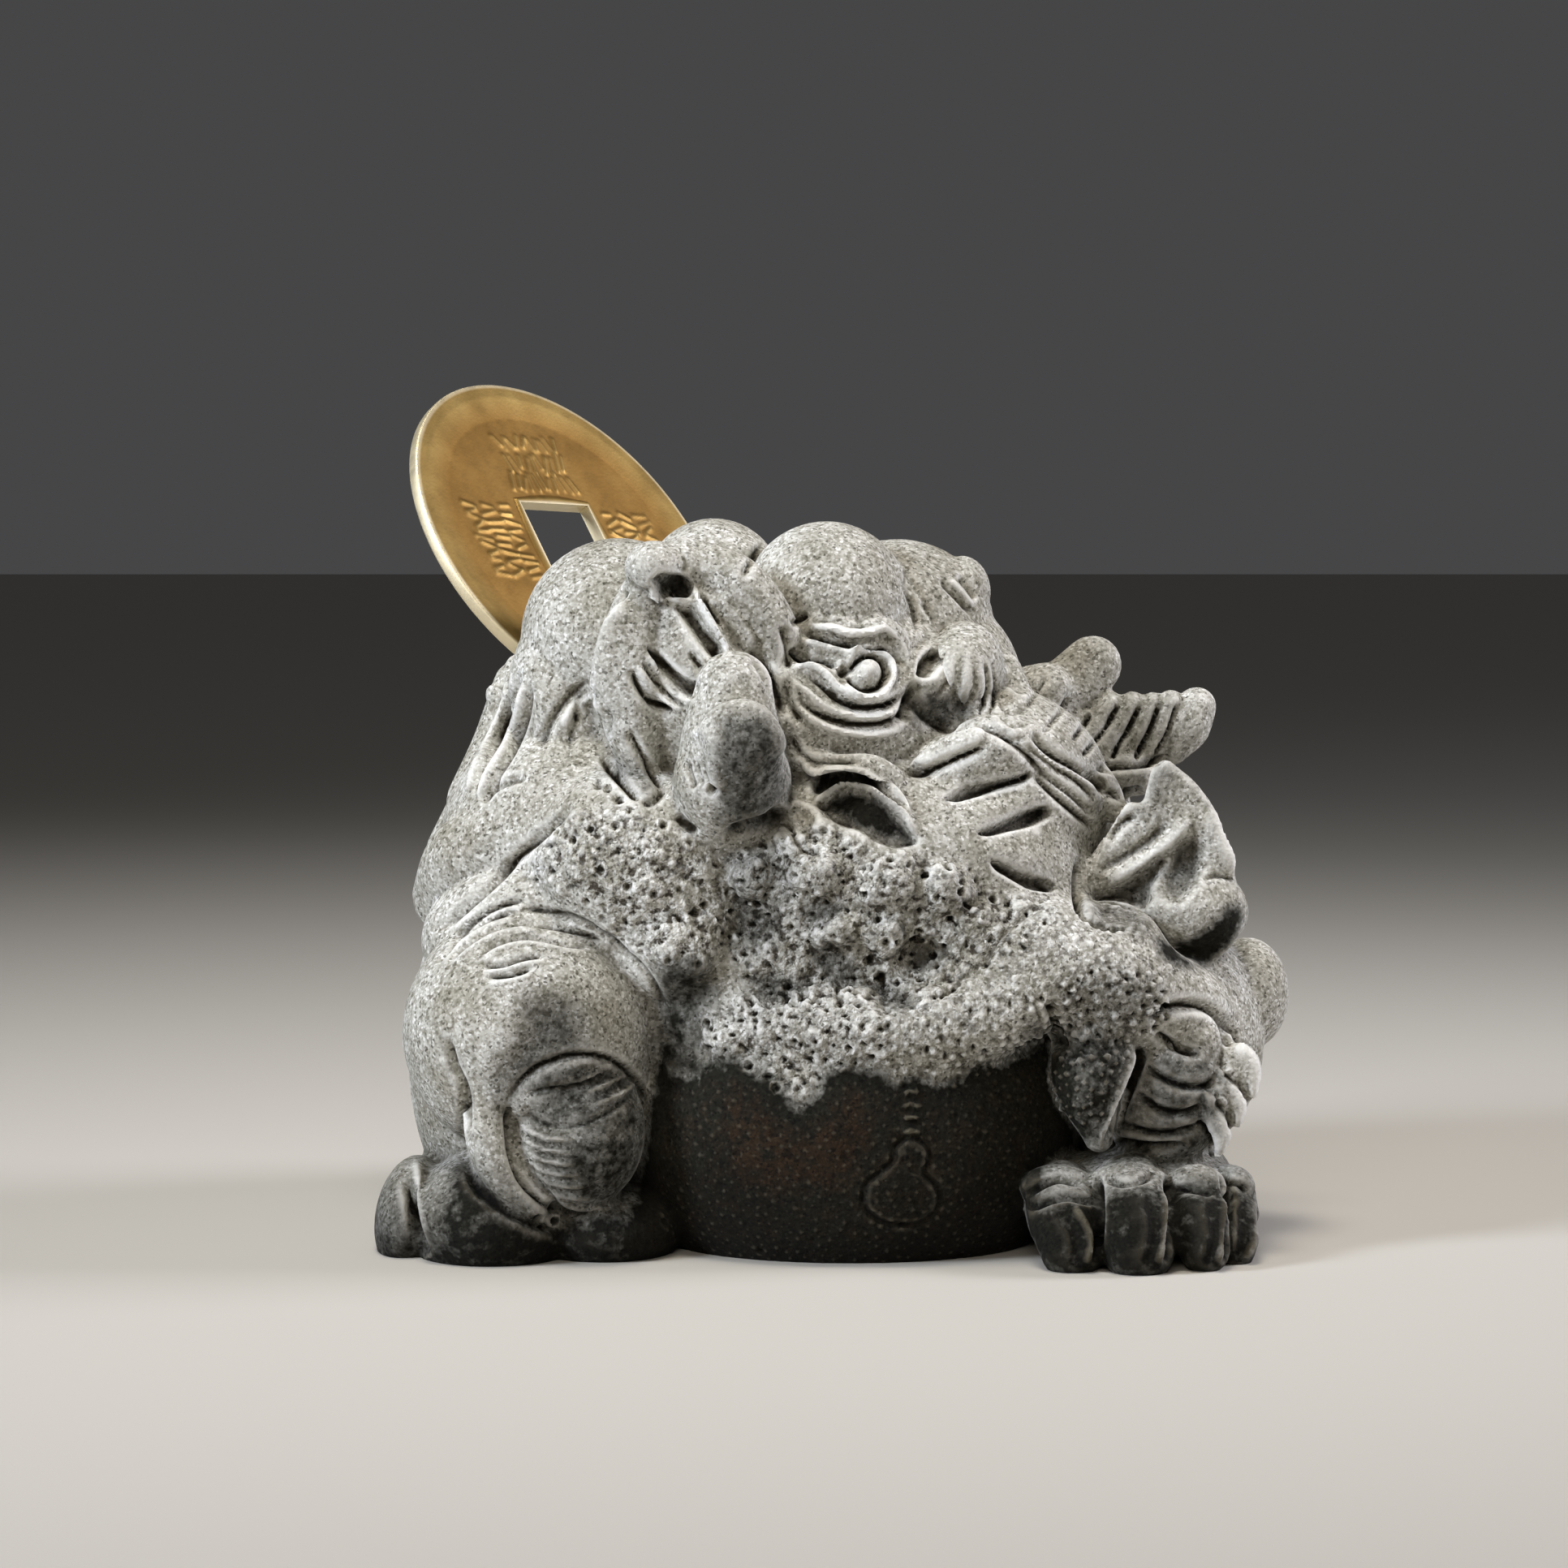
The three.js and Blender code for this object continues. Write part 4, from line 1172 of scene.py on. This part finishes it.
# Tea stains and painted shade, each as its outline in pixels, how soft its edge is in pixels, and how strong
# it is.
STAINS_AND_SHADE = [
    ([(812, 1300), (850, 1330), (868, 1308), (890, 1314), (905, 1302), (925, 1322), (948, 1328), (955, 1350),
      (985, 1368), (1005, 1350), (1018, 1326), (1040, 1316), (1062, 1326), (1085, 1320), (1100, 1336),
      (1130, 1326), (1150, 1336), (1180, 1330), (1205, 1314), (1240, 1310), (1265, 1296), (1300, 1288),
      (1330, 1400), (1290, 1440), (1270, 1566), (780, 1566), (790, 1440)], 20, 1.5),
    ([(890, 1310), (950, 1336), (985, 1376), (1030, 1332), (1080, 1330), (1090, 1420), (1060, 1480),
      (900, 1480),
      (870, 1400)], 44, 2.0),
    ([(884, 884), (950, 884), (972, 930), (962, 1016), (894, 1026), (884, 960)], 22, 0.9),
    ([(752, 930), (776, 940), (812, 970), (800, 990), (772, 974)], 8, 0.45),
    ([(648, 1226), (706, 1234), (724, 1300), (650, 1342), (618, 1372), (614, 1320), (640, 1276)], 30, 0.85),
    ([(650, 1322), (690, 1302), (780, 1322), (796, 1400), (700, 1400), (656, 1370)], 22, 0.9),
    ([(640, 1370), (800, 1370), (786, 1480), (720, 1496), (668, 1470)], 20, 0.7),
    ([(690, 1396), (800, 1386), (786, 1480), (720, 1496), (680, 1470)], 34, 0.98),
    (LEAF, 7, 1.2),
    (MOUTH_GAP, 6, 0.9),
    (NOSTRIL, 5, 0.85),
    ([(1270, 1262), (1392, 1284), (1360, 1410), (1270, 1430)], 24, 1.0),
    (UPPER_SCALES, 24, 0.5),
    ([(1404, 1300), (1500, 1300), (1490, 1430), (1340, 1430)], 32, 0.9),
    ([(560, 1424), (590, 1440), (640, 1500), (800, 1490), (812, 1566), (536, 1566), (540, 1480)], 26, 1.1),
    ([(1246, 1464), (1550, 1464), (1550, 1566), (1246, 1566)], 40, 1.15),
    ([(900, 1050), (1300, 1080), (1290, 1150), (1120, 1320), (870, 1310)], 60, 0.2),
    ([(890, 1050), (940, 1036), (972, 1060), (980, 1110), (950, 1160), (900, 1180)], 20, 0.6),
    ([(1114, 856), (1150, 850), (1196, 864), (1192, 888), (1144, 896), (1112, 888)], 14, 0.9),
    ([(1330, 876), (1450, 876), (1436, 984), (1352, 984)], 40, 0.5),
    ([(1334, 1096), (1400, 1110), (1420, 1150), (1386, 1150), (1338, 1136)], 12, 0.6),
    (FIN_UNDERSIDE, 10, 1.2),
    ([(812, 1186), (866, 1176), (886, 1222), (868, 1262), (866, 1330), (806, 1330)], 22, 0.95),
]
# Painted shade in the chest's hollows, the cheek's slits and the fin's hollows.
STAINS_AND_SHADE += [(hollow, 12, 0.8) for hollow in CHEST_HOLLOWS]
STAINS_AND_SHADE += [(slit, 5, 0.8) for slit in CHEEK_SLITS]
STAINS_AND_SHADE += [(hollow, 10, 0.7) for hollow in FIN_HOLLOWS]
# Painted shade also rises from the ground by this much, darkest at the bottom.
GROUND_SHADE_RISE = 17

# Coarse areas, each with its share of full coarseness, and how soft their edges are in pixels.
COARSE = [(LEFT_CHEST, 1), (MID_CHEST, 1), (BELLY_ROLL, 1), (ARM_GRAIN, 0.5), (UPPER_SCALES, 0.8)]
COARSE_EDGE = 16


def material_marks(s):
    """What the material reads at each point: its depth in hollows, its tea stains and painted shade, and its
    coarseness.
    """
    # Painted shade, darkest at the ground and gone at the rise's height.
    stain_and_shade = np.clip(1 - s.points[:, 2] / GROUND_SHADE_RISE, 0, 1)
    for outline, soft, strength in STAINS_AND_SHADE:
        ids, depth = s.within(outline, soft)
        share = np.clip(0.5 + depth / soft / 2, 0, 1)
        stain_and_shade[ids] = np.maximum(stain_and_shade[ids], strength * share * share * (3 - 2 * share) * s.seen[ids])
    coarse = np.zeros(len(stain_and_shade))
    for outline, most in COARSE:
        ids, depth = s.within(outline, COARSE_EDGE)
        coarse[ids] = np.maximum(coarse[ids], most * np.clip(0.5 + depth / COARSE_EDGE / 2, 0, 1))
    hollows = {"fine_hollow": s.hollow(5), "broad_hollow": s.hollow(60)}
    return hollows | {"stain_and_shade": s.blur(stain_and_shade, 4), "coarse": coarse}


def carry(piece, points, marks):
    """Gives a thinned mesh the values of the nearest of the points that it was made from."""
    finder = nearest_finder(points)
    nearest = [finder.find(vert.co)[1] for vert in piece.data.vertices]
    mark(piece.data, {name: values[nearest] for name, values in marks.items()})


# Where one form runs into the next without an edge.
MELTED = [
    [(1384, 1052), (1440, 1034), (1506, 1064), (1520, 1096), (1460, 1104), (1396, 1118)],
    [(1310, 1030), (1372, 1034), (1390, 1090), (1402, 1150), (1376, 1160), (1316, 1150)],
    [(840, 1230), (900, 1222), (916, 1270), (900, 1316), (846, 1310)],
    [(600, 850), (646, 846), (640, 900), (612, 950), (584, 940)],
    [(640, 1096), (700, 1104), (770, 1130), (806, 1184), (784, 1196), (720, 1170), (640, 1150)],
]


def make_toad():
    """The figure: its forms under one skin, carved, stained and given painted shade, thinned, and cut for
    ground and slot.
    """
    body = trunk()
    clay = Clay()
    clay.bm.from_mesh(body.data)
    for part in [
        chest, left_shoulder, left_leg, right_arm, right_foot, head, snout, crest, shoulder_fin, back,
    ]:
        part(clay)
    bpy.data.objects.remove(body)
    toad = clay.skin("toad_carving", FINE_VOXEL)
    surface = Surface(toad)
    surface.smooth(2)
    surface.look()
    surface.soften(MELTED, 14, 30)
    # The hidden side is worn softer.
    surface.smooth(80, surface.unseen(20))
    surface.look()
    carve(surface)
    marks = material_marks(surface)
    hidden = toad.vertex_groups.new(name="hidden")
    # A weight of 0 would keep the seen points from being thinned at all.
    hidden.add(np.nonzero(surface.seen > 0)[0].tolist(), SEEN_WEIGHT, "REPLACE")
    hidden.add(np.nonzero(surface.seen <= 0)[0].tolist(), 1, "REPLACE")
    thin = toad.modifiers.new("thin", "DECIMATE")
    thin.vertex_group = hidden.name
    thin.vertex_group_factor = HIDDEN_WORTH
    toad.data.calc_loop_triangles()
    thin.ratio = min(1, MOST_TRIANGLES / len(toad.data.loop_triangles))
    applied(toad)
    cut(toad, ground_tool())
    cut(toad, slot_tool())
    carry(toad, surface.points, marks)
    return toad


def coin_strokes():
    """Worn strokes in rows to each side of the hole: both ends in the coin's plane, and height."""
    chance = np.random.RandomState(5)
    strokes = []
    for side in range(4):
        out = Vector((math.cos(side * math.pi / 2), math.sin(side * math.pi / 2)))
        along = Vector((-out.y, out.x))
        for row in range(STROKE_ROWS):
            at = -ROW_HALF + chance.uniform(0, 0.6)
            while at < ROW_HALF:
                lean = chance.uniform(-0.5, 0.5)
                half = chance.uniform(0.7, 1.35)
                rise = FIRST_ROW + row * ROW_STEP + chance.uniform(-0.3, 0.3)
                ends = (out * (rise - half) + along * (at - lean), out * (rise + half) + along * (at + lean))
                strokes.append((*ends, chance.uniform(0.45, 0.9)))
                at += chance.uniform(0.9, 1.4)
    return strokes


def coin_blank(radius, reach):
    """A flat ring with rounded outer edges, spun from its section."""
    half = COIN_THICKNESS / 2
    bm = bmesh.new()
    top = [Vector((r, 0, half)) for r in np.linspace(reach, radius - COIN_ROUND, 84)]
    edge = [
        Vector((radius - COIN_ROUND * (1 - math.cos(a)), 0, half - COIN_ROUND * (1 - math.sin(a))))
        for a in np.radians([60, 30, 0])
    ]
    section = top + edge
    section += [Vector((p.x, 0, -p.z)) for p in reversed(section)]
    ring = [bm.verts.new(p) for p in section]
    sides = [bm.edges.new(pair) for pair in zip(ring, ring[1:] + ring[:1])]
    bmesh.ops.spin(
        bm, geom=ring + sides, cent=(0, 0, 0), axis=(0, 0, 1), angle=2 * math.pi, steps=384, use_merge=True
    )
    bmesh.ops.recalc_face_normals(bm, faces=bm.faces)
    return mesh_of(bm, "struck_coin")


def make_coin():
    """A struck coin: its hole is drawn out square, and its field is sunk between rims and round strokes."""
    radius = COIN_DIAMETER / 2
    reach = COIN_HOLE / 2
    mesh = coin_blank(radius, reach)
    places = np.empty(len(mesh.vertices) * 3, np.float32)
    mesh.vertices.foreach_get("co", places)
    x, y, z = places.reshape(-1, 3).astype(float).T
    far = np.hypot(x, y)
    inner = np.clip((radius - far) / (radius - reach), 0, 1) ** 2
    square = reach / np.maximum(np.abs(x), np.abs(y)) * far
    stretch = (far + (square - reach) * inner) / far
    x, y = x * stretch, y * stretch
    rise = np.clip((far - (radius - COIN_RIM)) / RIM_SLOPE, 0, 1)
    rise = rise + np.clip((reach + HOLE_RIM - far) / 0.4, 0, 1)
    sunk = COIN_RELIEF * (1 - np.clip(rise, 0, 1))
    for start, end, high in coin_strokes():
        way = end - start
        t = np.clip(((x - start.x) * way.x + (y - start.y) * way.y) / way.length_squared, 0, 1)
        off = np.hypot(x - start.x - t * way.x, y - start.y - t * way.y)
        sunk -= COIN_RELIEF * high * np.exp(-((off / 0.3) ** 2)) * (rise <= 0)
    wear = 1 - 0.5 * np.clip((far - reach) / 4, 0, 1) * np.clip((HOLE_RIM + reach - far) / 4, 0, 1)
    places = np.stack([x, y, z - np.sign(z) * np.maximum(sunk, 0) * wear], axis=1)
    mesh.vertices.foreach_set("co", places.astype(np.float32).ravel())
    # The outer edge and the hole's rim are rubbed bright, with painted highlight.
    rubbed_and_highlit = np.clip((far - radius + 0.7) / 0.5, 0, 1) + np.clip((reach + 0.5 - far) / 0.4, 0, 1)
    mark(mesh, {"sunk": sunk / COIN_RELIEF, "rubbed_and_highlit": rubbed_and_highlit})
    mesh.transform(COIN_FRAME @ Matrix.Rotation(COIN_SPIN, 4, "Z"))
    return new_object("struck_coin", mesh)


def finish_mesh(piece, material, body, replaced):
    """Turns a piece to metres, gives it its material, shades it smooth, and joins it to the frame."""
    piece.data.materials.clear()
    piece.data.materials.append(material)
    piece.data.transform(Matrix.Scale(MM, 4))
    piece.data.shade_smooth()
    piece.data.set_sharp_from_angle(angle=math.radians(65))
    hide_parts(replaced)
    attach(piece, body)


def colour(code):
    """A linear colour from sRGB hex."""
    parts = [int(code[i : i + 2], 16) / 255 for i in (0, 2, 4)]
    return (*(c / 12.92 if c <= 0.04045 else ((c + 0.055) / 1.055) ** 2.4 for c in parts), 1)


def add(tree, kind, links, stops=(), **settings):
    """Adds a shader node. links fill its inputs with sockets or values, and stops are a ramp's marks."""
    made = tree.nodes.new("ShaderNode" + kind)
    for name, value in settings.items():
        setattr(made, name, value)
    for name, value in links.items():
        if isinstance(value, bpy.types.NodeSocket):
            tree.links.new(value, made.inputs[name])
        else:
            made.inputs[name].default_value = value
    if stops:
        marks = made.color_ramp.elements
        while len(marks) < len(stops):
            marks.new(0.5)
        for stop, (place, code) in zip(marks, stops):
            stop.position = place
            stop.color = colour(code)
    return made


def new_material(name):
    """A material, its node tree and its shader."""
    material = bpy.data.materials.new(name)
    material.use_nodes = True
    tree = material.node_tree
    shader = tree.nodes["Principled BSDF"]
    return material, tree, shader


def cast_sandstone():
    """Sand and resin cast in a mould: matt, speckled grey-green and stained, with painted shade in hollows
    and low down, and edges pale with wear and painted highlight.
    """
    material, tree, shader = new_material("cast_sandstone")
    place = add(tree, "TexCoord", {}).outputs["Object"]
    grit = add(tree, "TexVoronoi", {"Vector": place, "Scale": 1 / (GRAIN * MM)}).outputs["Color"]
    grit = add(tree, "SeparateColor", {"Color": grit}).outputs["Red"]
    shades = [(0.0, "66645d"), (0.12, "9b9991"), (0.5, "b4b3ac"), (0.85, "c6c5c0"), (1.0, "e4e4e2")]
    tone = add(tree, "ValToRGB", {"Fac": grit}, shades).outputs["Color"]
    specks, clouds, mottle, pores, rough = [
        add(tree, "TexNoise", {"Vector": place, "Scale": 1 / (size * MM), "Detail": detail}).outputs["Fac"]
        for size, detail in [(2.5 * GRAIN, 3), (9, 4), (1.5, 5), (1.1, 3), (0.5, 3)]
    ]
    stain_and_shade, coarse, broad, fine = [
        add(tree, "Attribute", {}, attribute_name=name).outputs["Fac"]
        for name in ("stain_and_shade", "coarse", "broad_hollow", "fine_hollow")
    ]
    specks = add(tree, "ValToRGB", {"Fac": specks}, [(0.34, "c6c4bd"), (0.52, "ffffff")]).outputs["Color"]
    patches = add(tree, "ValToRGB", {"Fac": clouds}, [(0.3, "c6c3ba"), (0.7, "ffffff")]).outputs["Color"]

    patchy = {"Value": mottle, "From Min": 0.3, "From Max": 0.7, "To Min": 1.1, "To Max": 0.75}
    patchy = add(tree, "MapRange", patchy).outputs["Result"]
    stain_and_shade = add(tree, "Math", {0: stain_and_shade, 1: patchy}, operation="MULTIPLY").outputs[0]
    # Painted shade in the pores of the coarse areas.
    pore_shade = add(tree, "MapRange", {"Value": pores, "From Min": 0.46, "From Max": 0.38}).outputs["Result"]
    pore_shade = add(tree, "Math", {0: pore_shade, 1: coarse}, operation="MULTIPLY").outputs[0]
    # The thickest stain and painted shade turns to tea brown in small patches, elsewhere a dark grey-green.
    depth = add(tree, "Math", {0: stain_and_shade, 1: mottle}, operation="MULTIPLY").outputs[0]
    tea_and_shade = add(tree, "ValToRGB", {"Fac": depth}, [(0.64, "2b2b24"), (1.0, "3f3022")]).outputs["Color"]
    # Painted shade near the ground, darkest at the bottom and gone 12 mm up.
    height = add(tree, "SeparateXYZ", {"Vector": place}).outputs["Z"]
    ground_shade = {"Value": height, "From Max": 12 * MM, "To Min": 0.6, "To Max": 0}
    ground_shade = add(tree, "MapRange", ground_shade).outputs["Result"]
    # Painted shade over broad hollows, and dirt with painted shade in fine creases.
    shadow = add(tree, "MapRange", {"Value": broad, "From Min": 0.15, "From Max": 1.6}).outputs["Result"]
    crease_dirt_and_shade = add(tree, "MapRange", {"Value": fine, "From Min": 0.03, "From Max": 0.3}).outputs["Result"]
    washes = [(1, specks), (1, patches), (shadow, colour("7a6f5e")), (crease_dirt_and_shade, colour("5c564a")), (stain_and_shade, tea_and_shade)]
    for share, wash in washes + [(pore_shade, colour("77716a")), (ground_shade, colour("3a3a33"))]:
        # A Mix node's colours are its inputs 6 and 7, and its result is output 2.
        wash = {0: share, 6: tone, 7: wash}
        tone = add(tree, "Mix", wash, data_type="RGBA", blend_type="MULTIPLY").outputs[2]
    # Edges turn pale with wear and with painted highlight, and a darker brown where stained or shaded.
    edges = add(tree, "MapRange", {"Value": fine, "From Min": -0.03, "From Max": -0.2, "To Max": 0.75})
    fresh_and_highlight = {0: stain_and_shade, 6: colour("dddcd7"), 7: colour("565145")}
    fresh_and_highlight = add(tree, "Mix", fresh_and_highlight, data_type="RGBA").outputs[2]
    wear_and_highlight = {0: edges.outputs["Result"], 6: tone, 7: fresh_and_highlight}
    tone = add(tree, "Mix", wear_and_highlight, data_type="RGBA").outputs[2]
    tree.links.new(tone, shader.inputs["Base Color"])

    shader.inputs["Roughness"].default_value = 0.92
    shader.inputs["Specular IOR Level"].default_value = 0.15
    bump = add(tree, "Bump", {"Height": rough, "Strength": 0.5, "Distance": 0.3 * MM}).outputs["Normal"]
    pitted = {"Height": pores, "Strength": coarse, "Distance": MM, "Normal": bump}
    bump = add(tree, "Bump", pitted).outputs["Normal"]
    tree.links.new(bump, shader.inputs["Normal"])
    return material


def worn_brass():
    """Struck brass, worn to a dull gold on what stands proud and browner in the field, with edges bright from
    rubbing and painted highlight.
    """
    material, tree, shader = new_material("worn_brass")
    place = add(tree, "TexCoord", {}).outputs["Object"]
    clouds, wear, pitted = [
        add(tree, "TexNoise", {"Vector": place, "Scale": 1 / (size * MM), "Detail": detail}).outputs["Fac"]
        for size, detail in [(7, 5), (1.6, 6), (0.4, 2)]
    ]
    golds = [(0.3, "80683a"), (0.5, "937946"), (0.72, "a08751")]
    metal = add(tree, "ValToRGB", {"Fac": clouds}, golds).outputs["Color"]
    sunk = add(tree, "Attribute", {}, attribute_name="sunk").outputs["Fac"]
    field = add(tree, "MapRange", {"Value": sunk, "To Max": 0.75}).outputs["Result"]
    dulled = {0: field, 6: metal, 7: colour("ecd6c0")}
    metal = add(tree, "Mix", dulled, data_type="RGBA", blend_type="MULTIPLY").outputs[2]
    # Painted highlight and rubbing brighten the outer edge and the hole's rim.
    rubbed_and_highlit = add(tree, "Attribute", {}, attribute_name="rubbed_and_highlit").outputs["Fac"]
    bright = add(tree, "MapRange", {"Value": rubbed_and_highlit, "To Max": 0.8}).outputs["Result"]
    metal = add(tree, "Mix", {0: bright, 6: metal, 7: colour("efe3c2")}, data_type="RGBA").outputs[2]
    tree.links.new(metal, shader.inputs["Base Color"])
    shader.inputs["Metallic"].default_value = 1
    dull = add(tree, "MapRange", {"Value": wear, "To Min": 0.42, "To Max": 0.66}).outputs["Result"]
    tree.links.new(dull, shader.inputs["Roughness"])
    bump = add(tree, "Bump", {"Height": pitted, "Strength": 0.3, "Distance": 0.05 * MM}).outputs["Normal"]
    tree.links.new(bump, shader.inputs["Normal"])
    return material


def make_stage():
    """A pale floor, soft lamps and the camera."""
    floor = bmesh.new()
    bmesh.ops.create_grid(floor, x_segments=1, y_segments=1, size=3)
    piece = new_object("floor", mesh_of(floor, "floor"))
    material, _, shader = new_material("pale_floor")
    shader.inputs["Base Color"].default_value = colour("aaa69e")
    shader.inputs["Roughness"].default_value = 0.8
    piece.data.materials.append(material)

    for name, place, size, power, tint in [
        ("left_lamp", (-0.78, -0.45, 0.46), 0.26, 1.4, "e8f0ff"),
        ("right_lamp", (0.84, 0.1, 0.42), 0.3, 1.1, "f4f4ff"),
        ("top_lamp", (-0.1, -0.16, 0.98), 0.3, 0.8, "fffaf0"),
        ("front_lamp", (-0.1, -0.9, 0.5), 0.5, 0.45, "fff6e8"),
    ]:
        lamp = bpy.data.lights.new(name, "AREA")
        lamp.size = size
        lamp.energy = power
        lamp.color = colour(tint)[:3]
        lamp.spread = math.radians(60)
        holder = new_object(name, lamp)
        holder.location = place
        holder.rotation_euler = (Vector((0, 0, 0.045)) - Vector(place)).to_track_quat("-Z", "Y").to_euler()

    world = bpy.data.worlds.new("studio")
    world.use_nodes = True
    world.node_tree.nodes["Background"].inputs["Color"].default_value = colour("8a8a8c")
    world.node_tree.nodes["Background"].inputs["Strength"].default_value = 0.24
    bpy.context.scene.world = world

    camera = new_object("camera", bpy.data.cameras.new("camera"))
    camera.data.lens = camera.data.sensor_width / 2 * DISTANCE / HALF_FIELD
    camera.location = EYE * MM
    camera.rotation_euler = (math.pi / 2 - ELEVATION, 0, 0)
    bpy.context.scene.camera = camera
    bpy.context.scene.view_settings.view_transform = "Standard"


make_stage()
finish_mesh(make_toad(), cast_sandstone(), "root", "toad")
finish_mesh(make_coin(), worn_brass(), "root", "coin")
